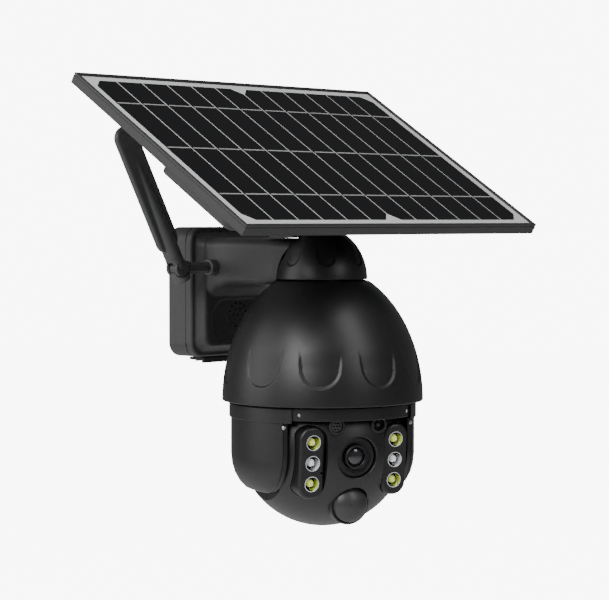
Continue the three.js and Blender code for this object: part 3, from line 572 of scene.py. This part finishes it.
# Solar inlet: a threaded gland with a hexagonal flange on the side of the box.
# It is moulded in matt plastic, and its thread is four fine ridges.
inlet = round_rod("x", 0.0047, 0.031, 0.045, INLET_PLACE)
weld(inlet, round_rod("x", 0.0074, 0.0363, 0.0400, INLET_PLACE, sides=6))
for ridge in range(4):
    weld(inlet, round_rod("x", 0.0051, 0.0406 + ridge * 0.0011, 0.0411 + ridge * 0.0011, INLET_PLACE))
cut(inlet, round_rod("x", 0.0026, 0.034, 0.046, INLET_PLACE))
bevel(inlet, 0.00025, 2)
settle(inlet, "inlet_gland", MATT, "mount", ["solar_inlet"])


# Antenna: a stub in the arm's side, a knuckle that swivels on it and a flat paddle with a round spine.
# The knuckle is the lower end of the paddle's barrel, and its tongue sits between the paddle's cheeks.
STUB_CENTRE = (-0.036, 0.016)
AERIAL = finish_nodes("aerial_casing", (0.032, 0.032, 0.033), 0.42, grain=0.05, grain_scale=1300,
                      mottle=0.06)
stub = round_rod("x", 0.005, -0.033, -0.0262, STUB_CENTRE)
weld(stub, round_rod("x", 0.0036, -0.0500, -0.030, STUB_CENTRE))
bevel(stub, 0.0005, 3)
settle(stub, "antenna_socket", AERIAL, "mount", ["antenna_stub"])

FOLD = -0.0585
knuckle = turned([(0.0, -0.0088), (0.0050, -0.0088), (0.0055, -0.0083), (0.0055, -0.0010), (0.0, -0.0010)],
                 sides=48)
cut(knuckle, round_rod("y", 0.0059, 0.0023, 0.0080, (0, 0)))
cut(knuckle, round_rod("y", 0.0059, -0.0080, -0.0023, (0, 0)))
knuckle.matrix_world = PADDLE
weld(knuckle, round_rod("x", 0.0045, FOLD + 0.0061, -0.0503, STUB_CENTRE))
weld(knuckle, round_rod("y", 0.0046, -0.0382, -0.0338, (FOLD, 0.016)))
weld(knuckle, cuboid((FOLD, -0.0382, 0.012), (FOLD + 0.0065, -0.0338, 0.020)))
bevel(knuckle, 0.0004, 3)
settle(knuckle, "antenna_joint", AERIAL, "antenna_knuckle", ["antenna_knuckle"])

PADDLE_ROOT = 0.0125
PADDLE_TIP = 0.098
PADDLE_WIDTH = 0.0176
paddle = rounded_slab(PADDLE_WIDTH, PADDLE_TIP - PADDLE_ROOT, 0.0075, -0.0022, 0.0022,
                      (0, (PADDLE_TIP + PADDLE_ROOT) / 2))
round_edges(paddle, lambda one, other: abs(one.y - other.y) < 1e-6, 0.0019, 5)
spine = turned([(0.0, 0.0005), (0.0056, 0.0005), (0.0056, 0.0078), (0.0052, 0.0080), (0.0052, 0.0086),
                (0.0056, 0.0088), (0.0055, 0.0160), (0.0048, 0.030), (0.0038, 0.050), (0.0028, 0.068),
                (0.0020, 0.080), (0.0, 0.083)], sides=48)
weld(paddle, spine)
weld(paddle, round_rod("y", 0.0055, -0.0050, 0.0050, (0, 0)))
cut(paddle, cuboid((-0.02, -0.0026, -0.02), (0.02, 0.0026, 0.0062)))
flow(paddle, 0.00036, 5)
settle(paddle, "antenna_paddle", AERIAL, "antenna_blade", ["antenna_blade"],
       place=PADDLE, smooth=60)


# Panel bracket: a black plastic foot screwed down on the arm, with a tapering stem up to a round eyelet.
# The tray under the panel hangs on the eyelet by two lugs and a steel bolt with hexagonal heads.
HINGE = Vector(joint["panel_tilt"]["pos_m"])
HINGE_PLACE = (HINGE.y, HINGE.z)
EYELET = 0.007
BRACKET_HALF = 0.0118
stem = cuboid((-BRACKET_HALF, -0.100, 0.0365), (BRACKET_HALF, -0.079, HINGE.z))
for vertex in stem.data.vertices:
    if vertex.co.z > 0.05:
        vertex.co.y = HINGE.y + (EYELET if vertex.co.y > -0.09 else -EYELET)
weld(stem, round_rod("x", EYELET, -BRACKET_HALF, BRACKET_HALF, HINGE_PLACE))
foot = rounded_slab(0.044, 0.022, 0.0025, 0.0350, 0.0372, (0, -0.089), axis="z")
weld(stem, foot)
for side in (-1, 1):
    cut(stem, cuboid((side * 0.0085 - 0.0017, -0.099, 0.039), (side * 0.0085 + 0.0017, -0.0935, 0.051)))
cut(stem, round_rod("x", 0.0024, -0.02, 0.02, HINGE_PLACE))
bevel(stem, 0.0005, 3)
settle(stem, "bracket_arm", MATT, "mount", ["panel_bracket"])

SCREW_REACH = 0.0168
for side, word in ((-1, "left"), (1, "right")):
    screw = turned([(0.0, 0.0364), (0.0022, 0.0364), (0.0022, 0.0379), (0.0016, 0.0386), (0.0, 0.0388)],
                   sides=32)
    screw.matrix_world = Matrix.Translation((side * SCREW_REACH, -0.083, 0))
    cut(screw, cuboid((side * SCREW_REACH - 0.0016, -0.0833, 0.0380),
                      (side * SCREW_REACH + 0.0016, -0.0827, 0.0395)))
    settle(screw, "foot_screw_" + word, STEEL, "mount")

bolt = round_rod("x", 0.0021, -0.021, 0.021, HINGE_PLACE)
for side in (-1, 1):
    weld(bolt, round_rod("x", 0.0046, side * 0.018, side * 0.0214, HINGE_PLACE, sides=6))
bevel(bolt, 0.0003, 2)
settle(bolt, "panel_bolt", STEEL, "mount", ["hinge_bolt"])


# Panel frame: four black aluminium rails round the panel, each with a return lip on its underside.
# The rails meet in mitred corners, and a fine groove runs along their outer faces.
FRAME_TOP = 0.0292
FRAME_LOW = 0.0222
FRAME_HALF = 0.132
FRAME_FRONT = -0.067
FRAME_BACK = 0.1048
FRAME_LIP = 0.002
RETURN_LIP = 0.009
ANODISED = finish_nodes("black_rail", (0.012, 0.012, 0.0125), 0.45, grain=0.06, grain_scale=1600,
                        mottle=0.05)


def panel_ring(inset, low, high):
    return cuboid((-FRAME_HALF + inset, FRAME_FRONT + inset, low),
                  (FRAME_HALF - inset, FRAME_BACK - inset, high))


rails = panel_ring(0, FRAME_LOW, FRAME_TOP)
cut(rails, panel_ring(FRAME_LIP, FRAME_TOP - 0.0022, FRAME_TOP + 0.001))
cut(rails, panel_ring(RETURN_LIP, FRAME_LOW - 0.001, FRAME_TOP - 0.001))
groove = panel_ring(-0.001, FRAME_LOW + 0.0052, FRAME_LOW + 0.0056)
cut(groove, panel_ring(0.0003, FRAME_LOW + 0.0045, FRAME_LOW + 0.0062))
cut(rails, groove)
bevel(rails, 0.0003, 2)
settle(rails, "panel_rails", ANODISED, "panel", ["panel_frame"], place=PANEL)


# Panel glass and backsheet: the pale sheet shows as thin lines between the dark cells.
# Twelve cell strips lie in two groups of six, and the outer corners of each group are cropped.
SHEET_TOP = 0.0280
CELL_PITCH = 0.02075
CELL_GAP = 0.0012
CELL_HALF = 6 * CELL_PITCH
CELL_FRONT = -0.0593
CELL_BACK = 0.0974
CELL_CROP = 0.0072
STRIPS = 12
SHEET = finish_nodes("pale_sheet", (0.36, 0.363, 0.368), 0.5, mottle=0.03)


def repeat(piece, count, offset):
    modifier = piece.modifiers.new("row", "ARRAY")
    modifier.count = count
    modifier.use_relative_offset = False
    modifier.use_constant_offset = True
    modifier.constant_offset_displace = offset
    apply_all(piece)


sheet = panel_ring(FRAME_LIP + 0.0003, FRAME_TOP - 0.0019, SHEET_TOP)
bevel(sheet, 0.0001, 1)
settle(sheet, "panel_sheet", SHEET, "panel", ["cell_glass"], place=PANEL)

CELL_DARK = finish_nodes("cell_silicon", (0.0025, 0.0025, 0.0030), 0.38, mottle=0.10)
CELL_DARK.node_tree.nodes["Principled BSDF"].inputs["Specular IOR Level"].default_value = 0.10
strips = cuboid((-CELL_HALF + CELL_GAP / 2, CELL_FRONT, SHEET_TOP + 0.00002),
                (-CELL_HALF + CELL_PITCH - CELL_GAP / 2, CELL_BACK, SHEET_TOP + 0.00022))
repeat(strips, STRIPS, (CELL_PITCH, 0, 0))
for x in (-CELL_HALF, 0, CELL_HALF):
    for y in (CELL_FRONT, CELL_BACK):
        cut(strips, round_rod("z", CELL_CROP, SHEET_TOP - 0.001, SHEET_TOP + 0.002, (x, y), sides=4))
settle(strips, "solar_cells", CELL_DARK, "panel", place=PANEL)

RIBBON = finish_nodes("tinned_ribbon", (0.30, 0.30, 0.305), 0.5, metallic=0.4, mottle=0.08)
ribbons = cuboid((-CELL_HALF + 0.0014, -0.03235, SHEET_TOP + 0.00018),
                 (-CELL_HALF + CELL_PITCH - 0.0014, -0.03125, SHEET_TOP + 0.00030))
repeat(ribbons, STRIPS, (CELL_PITCH, 0, 0))
repeat(ribbons, 3, (0, 0.0511, 0))
settle(ribbons, "cell_ribbons", RIBBON, "panel", place=PANEL)


# Tray under the panel: a moulded channel that stiffens it and carries the two lugs of the hinge.
# Behind it sits the junction box with its cable gland.
TRAY_LOW = 0.0142
TRAY_HIGH = 0.0219
TRAY_MIDDLE = -0.0165
tray = rounded_slab(0.250, 0.067, 0.006, TRAY_LOW, TRAY_HIGH, (0, TRAY_MIDDLE), axis="z")
round_edges(tray, lambda one, other: max(one.z, other.z) < TRAY_LOW + 1e-5, 0.0014, 4)
cut(tray, rounded_slab(0.245, 0.062, 0.004, TRAY_LOW + 0.0024, TRAY_HIGH + 0.001,
                       (0, TRAY_MIDDLE), axis="z"))
for side in (-1, 1):
    lug = cuboid((side * 0.015 - 0.0025, -0.008, 0), (side * 0.015 + 0.0025, 0.008, TRAY_LOW + 0.001))
    weld(lug, round_rod("x", 0.008, side * 0.015 - 0.0025, side * 0.015 + 0.0025, (0, 0)))
    cut(lug, round_rod("x", 0.0024, side * 0.015 - 0.004, side * 0.015 + 0.004, (0, 0), sides=32))
    weld(tray, lug)
for side in (-1, 1):
    cut(tray, rounded_slab(0.070, 0.040, 0.004, TRAY_LOW - 0.001, TRAY_LOW + 0.0006,
                           (side * 0.072, TRAY_MIDDLE), axis="z"))
bevel(tray, 0.0004, 2, angle=40)
settle(tray, "panel_tray", MATT, "panel", ["back_tray"], place=PANEL)

BOX_FLOOR = 0.0102
junction = cuboid((-0.024, 0.033, BOX_FLOOR), (0.024, 0.063, 0.0219))
bevel(junction, 0.0015, 4)
apply_all(junction)
seam = cuboid((-0.026, 0.031, BOX_FLOOR + 0.0032), (0.026, 0.065, BOX_FLOOR + 0.0036))
cut(seam, cuboid((-0.0236, 0.0334, BOX_FLOOR), (0.0236, 0.0626, BOX_FLOOR + 0.006)))
cut(junction, seam)
weld(junction, round_rod("y", 0.0033, 0.025, 0.034, (0, 0.0162)))
weld(junction, round_rod("y", 0.0040, 0.0275, 0.0320, (0, 0.0162), sides=6))
settle(junction, "junction_case", MATT, "panel", ["junction_box"], place=PANEL)


# Head yoke: a turned cup inside the dome, with a collar below the dome's rim and two side plates that
# hold the ball's axles. Two raised bands on the collar stand over the ears.
COLLAR_RADIUS = 0.0570
COLLAR_TOP = -0.0663
COLLAR_LOW = -0.0740
YOKE_TOP = -0.036
EAR_INNER = 0.0403
EAR_PLATE = 0.0026
EAR_HALF = 0.037
EAR_FLOOR = -0.1202
TILT_LEVEL = joint["tilt"]["pos_m"][2]
yoke = turned([(0.0042, YOKE_TOP), (0.046, YOKE_TOP), (0.0515, YOKE_TOP - 0.0045), (0.0556, -0.052),
               (0.0561, COLLAR_TOP)]
              + arc((COLLAR_RADIUS - 0.0005, COLLAR_TOP - 0.0005), 0.0005, 90, 0, 4)
              + arc((COLLAR_RADIUS - 0.0006, COLLAR_LOW + 0.0006), 0.0006, 0, -90, 4)
              + [(0.0549, COLLAR_LOW), (0.0549, COLLAR_TOP), (0.0532, -0.052), (0.0496, YOKE_TOP - 0.005),
                 (0.045, YOKE_TOP - 0.0024), (0.0042, YOKE_TOP - 0.0024), (0.0042, YOKE_TOP)],
              sides=192, closed=True)


def ear_blank(inner, outer, inset, top):
    """The side-on outline of an ear, with wide round lower corners, between two places along X."""
    piece = cuboid((min(inner, outer), -EAR_HALF + inset, EAR_FLOOR + inset),
                   (max(inner, outer), EAR_HALF - inset, top))
    round_edges(piece, lambda one, other: max(one.z, other.z) < EAR_FLOOR + inset + 1e-5
                and abs(one.y - other.y) < 1e-6, 0.026 - inset, 14)
    return piece


def ear_round(inset, top):
    """The turned outline of the ears: straight down from the collar, then pulled in towards the bottom."""
    rim = [(COLLAR_RADIUS, -0.098), (0.0563, -0.1045), (0.0547, -0.1100), (0.0520, -0.1150),
           (0.0484, -0.1188), (0.0445, -0.1204)]
    lowered = [(radius - inset, height + inset * 0.8) for radius, height in rim]
    return turned([(0.0, top), (COLLAR_RADIUS - inset, top)] + lowered + [(0.0, lowered[-1][1])], sides=192)


for side in (-1, 1):
    plate = ear_blank(side * EAR_INNER, side * (EAR_INNER + EAR_PLATE), 0, -0.066)
    combine(plate, ear_round(0, -0.060), "INTERSECT")
    weld(yoke, plate)
    cut(yoke, round_rod("x", 0.0044, side * 0.038, side * 0.046, (0, TILT_LEVEL)))
band = turned([(0.0559, -0.0668)] + arc((0.0576, -0.0673), 0.0005, 90, 0, 4)
              + arc((0.0576, -0.0750), 0.0005, 0, -90, 4) + [(0.0559, -0.0755), (0.0559, -0.0668)],
              sides=192, closed=True)
cut(band, cuboid((-0.0399, -0.07, -0.09), (0.0399, 0.07, -0.06)))
weld(yoke, band)
settle(yoke, "head_yoke", SATIN, "head", ["yoke"], place=HEAD, smooth=40)


# Ear covers: hollow mouldings screwed over the yoke's side plates. They close in under the ball, and
# their front edge has a soft chamfer.
for side, word in ((-1, "left"), (1, "right")):
    inner = side * (EAR_INNER + EAR_PLATE + 0.0003)
    ear = ear_blank(inner, side * 0.060, 0, COLLAR_LOW - 0.0003)
    combine(ear, ear_round(0, -0.060), "INTERSECT")
    room = ear_blank(side * 0.040, side * 0.060, 0.0024, COLLAR_LOW - 0.0027)
    combine(room, ear_round(0.0024, -0.060), "INTERSECT")
    cut(ear, room)
    bevel(ear, 0.0010, 3, angle=38)
    settle(ear, "ear_casing_" + word, SATIN, "head", ["ear_cover_" + word],
           place=HEAD, smooth=40)


# Screws of the head: small steel cross-head screws in the fronts of the ears and in the collar.
# Each is turned and has a cross cut into its face.
def small_screw(name, place, radius=0.0013):
    screw = turned([(0.0, -0.0012), (radius, -0.0012), (radius, 0.0002), (radius * 0.7, 0.0006),
                    (0.0, 0.0007)], sides=28)
    for turn in (0, pi / 2):
        blade = cuboid((-0.0009, -0.0002, 0.0003), (0.0009, 0.0002, 0.0012))
        blade.rotation_euler.z = turn
        cut(screw, blade)
    settle(screw, name, STEEL, "head", place=place)


for side, word in ((-1, "left"), (1, "right")):
    facing = Matrix.Translation((side * 0.0424, -0.0368, -0.0782)) @ Matrix.Rotation(pi / 2, 4, "X")
    small_screw("ear_screw_" + word, HEAD @ facing)
    around = Matrix.Rotation(side * radians(39), 4, "Z") @ Matrix.Translation((0, -COLLAR_RADIUS, -0.0702))
    small_screw("collar_screw_" + word, HEAD @ around @ Matrix.Rotation(pi / 2, 4, "X"), 0.0011)


# Ball front: the half shell with the camera's face. It is turned about the lens axis, with a rounded lip
# at the lens, and the seats of the lamp pods and the collars of the sensors are cut and joined to it.
BALL_RADIUS = 0.0523
BALL_WALL = 0.0024
BALL_HALF = 0.0392
BALL_SPLIT = 0.006
LENS_BORE = 0.0125
POD_X = 0.0274
POD_Z = -0.0033
POD_WIDTH = 0.0164
POD_HEIGHT = 0.0440
POD_FACE = -0.0456
MOTION_Z = -0.0303
MOTION_OUTER = 0.0128
MOTION_INNER = 0.0112
MOTION_FACE = -0.0427
BOSS_X = 0.0139
BOSS_Z = 0.0194
BOSS_RADIUS = 0.0053
BOSS_FACE = -0.0494
FORWARD = Matrix.Rotation(pi / 2, 4, "X")


def point_forward(piece, x=0.0, z=0.0):
    """Lays a shape turned about Z so that it points out of the face, at a place on it."""
    only(piece)
    piece.matrix_world = Matrix.Translation((x, 0, z)) @ FORWARD @ piece.matrix_world
    bpy.ops.object.transform_apply(location=True, rotation=True, scale=True)
    return piece


def ball_profile(radius, start, end, count):
    """Points on the ball's outline between two distances from the lens axis, the nearest first."""
    first, last = asin(start / radius), acos(end / radius)
    turns = [first + (last - first) * step / count for step in range(count + 1)]
    return [(radius * sin(turn), radius * cos(turn)) for turn in turns]


LIP = 0.0009
lip_place = sqrt((BALL_RADIUS - LIP) ** 2 - (LENS_BORE + LIP) ** 2)
inner_wall = BALL_RADIUS - BALL_WALL
face_profile = arc((LENS_BORE + LIP, lip_place), LIP, 180, 75, 7)
face_profile += ball_profile(BALL_RADIUS, LENS_BORE + LIP * 1.5, BALL_SPLIT, 60)
face_profile += ball_profile(inner_wall, LENS_BORE, BALL_SPLIT, 30)[::-1]
face_profile.append(face_profile[0])
front = point_forward(turned(face_profile, sides=160, closed=True))


def flat_sides(shell, start, end):
    """Cuts a half shell flat on both sides and closes it there with plates, between two places along Y."""
    for side in (-1, 1):
        cut(shell, cuboid((side * (BALL_HALF + 0.02) - 0.02, -0.06, -0.06),
                          (side * (BALL_HALF + 0.02) + 0.02, 0.06, 0.06)))
        disc = round_rod("x", 0.0345, side * (BALL_HALF - BALL_WALL), side * BALL_HALF, (0, 0), sides=96)
        slice_low = (side * 0.038 - 0.002, start, -0.036)
        combine(disc, cuboid(slice_low, (side * 0.038 + 0.002, end, 0.036)), "INTERSECT")
        weld(shell, disc)


flat_sides(front, -0.036, -BALL_SPLIT)
for x, z, radius, face, start in ((0, MOTION_Z, MOTION_OUTER, MOTION_FACE, -0.022),
                                  (-BOSS_X, BOSS_Z, BOSS_RADIUS, BOSS_FACE, -0.0405),
                                  (BOSS_X, BOSS_Z, BOSS_RADIUS, BOSS_FACE, -0.0405)):
    collar = round_rod("y", radius, start, face, (x, z), sides=96)
    round_edges(collar, lambda one, other: max(one.y, other.y) < face + 1e-5, 0.0006, 3)
    weld(front, collar)
cut(front, round_rod("y", MOTION_INNER + 0.0004, -0.010, -0.06, (0, MOTION_Z), sides=96))
for side in (-1, 1):
    cut(front, rounded_slab(POD_WIDTH + 0.0006, POD_HEIGHT + 0.0006, POD_WIDTH / 2 - 0.0003, -0.060, -0.020,
                            (side * POD_X, POD_Z)))
    cut(front, round_rod("y", 0.0037, -0.030, -0.06, (side * BOSS_X, BOSS_Z), sides=48))
settle(front, "ball_face", SATIN, "ball", ["ball_front"], place=EYE, smooth=30)


# Ball rear: the plain half shell behind, closed by the same two flat sides.
# The axles pass through round holes in those sides.
back_split = BALL_SPLIT - 0.0003
rear_profile = [(radius, -height) for radius, height in ball_profile(BALL_RADIUS, 1e-6, -back_split, 64)]
inside_rear = ball_profile(inner_wall, 1e-6, -back_split, 40)
rear_profile += [(radius, -height) for radius, height in inside_rear][::-1]
rear = point_forward(turned(rear_profile, sides=160))
flat_sides(rear, -back_split, 0.036)
for side in (-1, 1):
    cut(rear, round_rod("x", 0.0041, side * 0.035, side * 0.042, (0, 0)))
settle(rear, "ball_back", SATIN, "ball", ["ball_rear"], place=EYE, smooth=30)


# Lens: a stepped black bezel in the ball's bore, the lens barrel with its recessed dark face, and a
# coated glass dome in front.
MATT_DARK = finish_nodes("lens_black", (0.010, 0.010, 0.011), 0.5, grain=0.05, grain_scale=1500,
                         mottle=0.05)
bezel = turned([(0.0122, 0.0332), (0.0122, 0.0474), (0.0119, 0.0480), (0.0113, 0.0481), (0.0110, 0.0476),
                (0.0106, 0.0476), (0.0104, 0.0471), (0.0099, 0.0471), (0.0096, 0.0464), (0.0090, 0.0464),
                (0.0087, 0.0457), (0.0079, 0.0457), (0.0077, 0.0332), (0.0122, 0.0332)],
               sides=128, closed=True)
settle(point_forward(bezel), "lens_surround", MATT_DARK, "ball", ["lens_bezel"],
       place=EYE, smooth=25)

barrel = turned([(0.0, 0.0292), (0.0074, 0.0292), (0.0074, 0.0490), (0.0071, 0.0494), (0.0064, 0.0495),
                 (0.0063, 0.0492), (0.0062, 0.0484), (0.0060, 0.0482), (0.0059, 0.0464), (0.0, 0.0463)],
                sides=96)
settle(point_forward(barrel), "lens_tube", SATIN, "ball", ["lens_barrel"],
       place=EYE, smooth=25)

COATED = finish_nodes("coated_glass", (0.010, 0.010, 0.013), 0.10, mottle=0.05)
coated_shader = COATED.node_tree.nodes["Principled BSDF"]
coated_shader.inputs["Coat Weight"].default_value = 0.5
coated_shader.inputs["Coat Roughness"].default_value = 0.03
dome_rise = [(0.0057 * cos(radians(turn)), 0.0466 + 0.0022 * sin(radians(turn)))
             for turn in range(0, 90, 6)]
glass = turned([(0.0, 0.0465), (0.0057, 0.0465)] + dome_rise + [(0.0, 0.0488)], sides=72)
settle(point_forward(glass), "front_glass", COATED, "ball", ["lens_glass"],
       place=EYE, smooth=50)


# Lamp pods: pill-shaped blocks that stand proud of the ball, with three wells each. Every well has a
# bright reflector and a lamp: yellow phosphor domes above and below, a clear infrared one in the middle.
LAMP_PITCH = 0.0126
BULB_RADIUS = 0.0024
LAMP_ROWS = (1, 0, -1)
CHROME = finish_nodes("bright_reflector", (0.80, 0.81, 0.82), 0.07, metallic=1.0, mottle=0.04)
PHOSPHOR = finish_nodes("lamp_phosphor", (0.62, 0.72, 0.10), 0.22, mottle=0.12)
CLEAR_LAMP = finish_nodes("clear_lamp", (0.70, 0.71, 0.74), 0.12, mottle=0.05)
for lamp_finish in (PHOSPHOR, CLEAR_LAMP):
    lamp_finish.node_tree.nodes["Principled BSDF"].inputs["Coat Weight"].default_value = 1.0

for side, word in ((-1, "left"), (1, "right")):
    pod = rounded_slab(POD_WIDTH, POD_HEIGHT, POD_WIDTH / 2 - 0.0006, POD_FACE, -0.033,
                       (side * POD_X, POD_Z))
    round_edges(pod, lambda one, other: max(one.y, other.y) < POD_FACE + 1e-5, 0.0019, 6)
    for row in LAMP_ROWS:
        height = POD_Z + row * LAMP_PITCH
        well = turned([(0.0, 0.0405), (0.0040, 0.0405), (0.0047, 0.0457), (0.0050, 0.0470), (0.0, 0.0470)],
                      sides=64)
        cut(pod, point_forward(well, side * POD_X, height))
    if side < 0:
        cut(pod, round_rod("y", 0.0008, -0.043, -0.047, (-POD_X + 0.0061, POD_Z - 0.0062), sides=20))
    settle(pod, "lamp_block_" + word, SATIN, "ball", ["lamp_pod_" + word],
           place=EYE, smooth=35)
    for number, row in enumerate(LAMP_ROWS, 1):
        height = POD_Z + row * LAMP_PITCH
        ring = turned([(0.0032, 0.0412), (0.0039, 0.0412), (0.0046, 0.0454), (0.0047, 0.0459),
                       (0.0043, 0.0459), (0.0040, 0.0445), (0.0036, 0.0428), (0.0032, 0.0417),
                       (0.0032, 0.0412)], sides=64, closed=True)
        settle(point_forward(ring, side * POD_X, height), f"reflector_{word}_{number}", CHROME, "ball",
               place=EYE, smooth=30)
        bulb_rise = [(BULB_RADIUS * cos(radians(turn)), 0.0424 + BULB_RADIUS * sin(radians(turn)))
                     for turn in range(0, 90, 9)]
        bulb = turned([(0.0, 0.0410), (BULB_RADIUS, 0.0410), (BULB_RADIUS, 0.0422)] + bulb_rise
                      + [(0.0, 0.0448)], sides=48)
        bulb = point_forward(bulb, side * POD_X, height)
        finish, slot_name = (CLEAR_LAMP, "lamp_clear") if number == 2 else (PHOSPHOR, "lamp_phosphor")
        settle(bulb, f"bulb_{word}_{number}", finish, "ball", [f"lamp_{word}_{number}"],
               place=EYE, smooth=50)


# Microphone and light sensor: two small round inserts in the collars above the lens.
# The first is a plastic grille with seven holes, the second a dark window with a raised middle.
grille = turned([(0.0, 0.0400), (0.0035, 0.0400), (0.0035, 0.0484), (0.0033, 0.0486), (0.0, 0.0486)],
                sides=64)
grille = point_forward(grille, -BOSS_X, BOSS_Z)
GRILLE_ROWS = ((0.0018, (-0.0009, 0.0009)), (0.0, (-0.0019, 0.0, 0.0019)), (-0.0018, (-0.0009, 0.0009)))
for row, places in GRILLE_ROWS:
    for x in places:
        cut(grille, round_rod("y", 0.00062, -0.0470, -0.0500, (-BOSS_X + x, BOSS_Z + row), sides=16))
settle(grille, "microphone_grille", MATT, "ball", ["microphone"], place=EYE, smooth=35)

WINDOW = finish_nodes("dark_window", (0.010, 0.010, 0.012), 0.12, mottle=0.05)
window = turned([(0.0, 0.0400), (0.0035, 0.0400), (0.0035, 0.0472), (0.0026, 0.0476), (0.0022, 0.0468),
                 (0.0019, 0.0468), (0.0018, 0.0478), (0.0012, 0.0484), (0.0, 0.0486)], sides=64)
settle(point_forward(window, BOSS_X, BOSS_Z), "light_window", WINDOW, "ball",
       ["light_sensor"], place=EYE, smooth=30)


# Motion sensor: a thin smoked dome of polyethylene over the heat sensor.
# It sits in the collar below the lens.
SMOKED = finish_nodes("smoked_dome", (0.020, 0.020, 0.021), 0.42, grain=0.05, grain_scale=900, mottle=0.06)
MOTION_RADIUS = 0.0140
cap_turns = [radians(turn) for turn in range(50, 0, -3)]
cap_rise = [(MOTION_RADIUS * sin(turn), 0.0360 + MOTION_RADIUS * cos(turn)) for turn in cap_turns]
inside = [(radius - 0.0009, height - 0.0009) for radius, height in cap_rise if radius > 0.0012]
lens = turned([(0.0, 0.0496)] + cap_rise[::-1]
              + [(0.0111, 0.0424), (0.0111, 0.0352), (0.0100, 0.0352), (0.0100, 0.0424)]
              + inside + [(0.0, 0.0487)], sides=96)
settle(point_forward(lens, 0, MOTION_Z), "motion_dome", SMOKED, "ball",
       ["motion_lens"], place=EYE, smooth=40)


# Works inside: the pieces that need no more shape than they have get their own finishes, with turned or
# drawn steel, brass, acetal gears, green circuit boards, printed cell wraps and a rubber gasket.
POLISHED = finish_nodes("bearing_steel", (0.60, 0.61, 0.62), 0.16, metallic=1.0, mottle=0.04)
BRASS = finish_nodes("turned_brass", (0.62, 0.45, 0.17), 0.30, metallic=1.0, grain=0.1, grain_scale=600,
                     mottle=0.08)
ACETAL = finish_nodes("white_acetal", (0.74, 0.74, 0.71), 0.42, grain=0.03, grain_scale=1200, mottle=0.03)
BOARD = finish_nodes("circuit_board", (0.014, 0.10, 0.035), 0.38, grain=0.25, grain_scale=420, mottle=0.30)
CELL_WRAP = finish_nodes("cell_wrap", (0.03, 0.13, 0.34), 0.34, grain=0.05, grain_scale=700, mottle=0.10)
INNER_FINISHES = {
    STEEL: ("speaker", "motor_plate", "pan_motor", "tilt_motor", "tilt_axle_left", "tilt_axle_right",
            "pan_spindle", "motion_sensor"),
    POLISHED: ("pan_bearing",),
    BRASS: ("pan_pinion", "tilt_pinion"),
    ACETAL: ("pan_gear", "tilt_gear", "battery_tray"),
    BOARD: ("charge_board", "image_board"),
    CELL_WRAP: ("battery_cell_1", "battery_cell_2", "battery_cell_3"),
    RUBBER: ("box_gasket",),
}
for inner_finish, names in INNER_FINISHES.items():
    for name in names:
        node = frame["nodes"][name]
        node.data.materials.clear()
        node.data.materials.append(inner_finish)
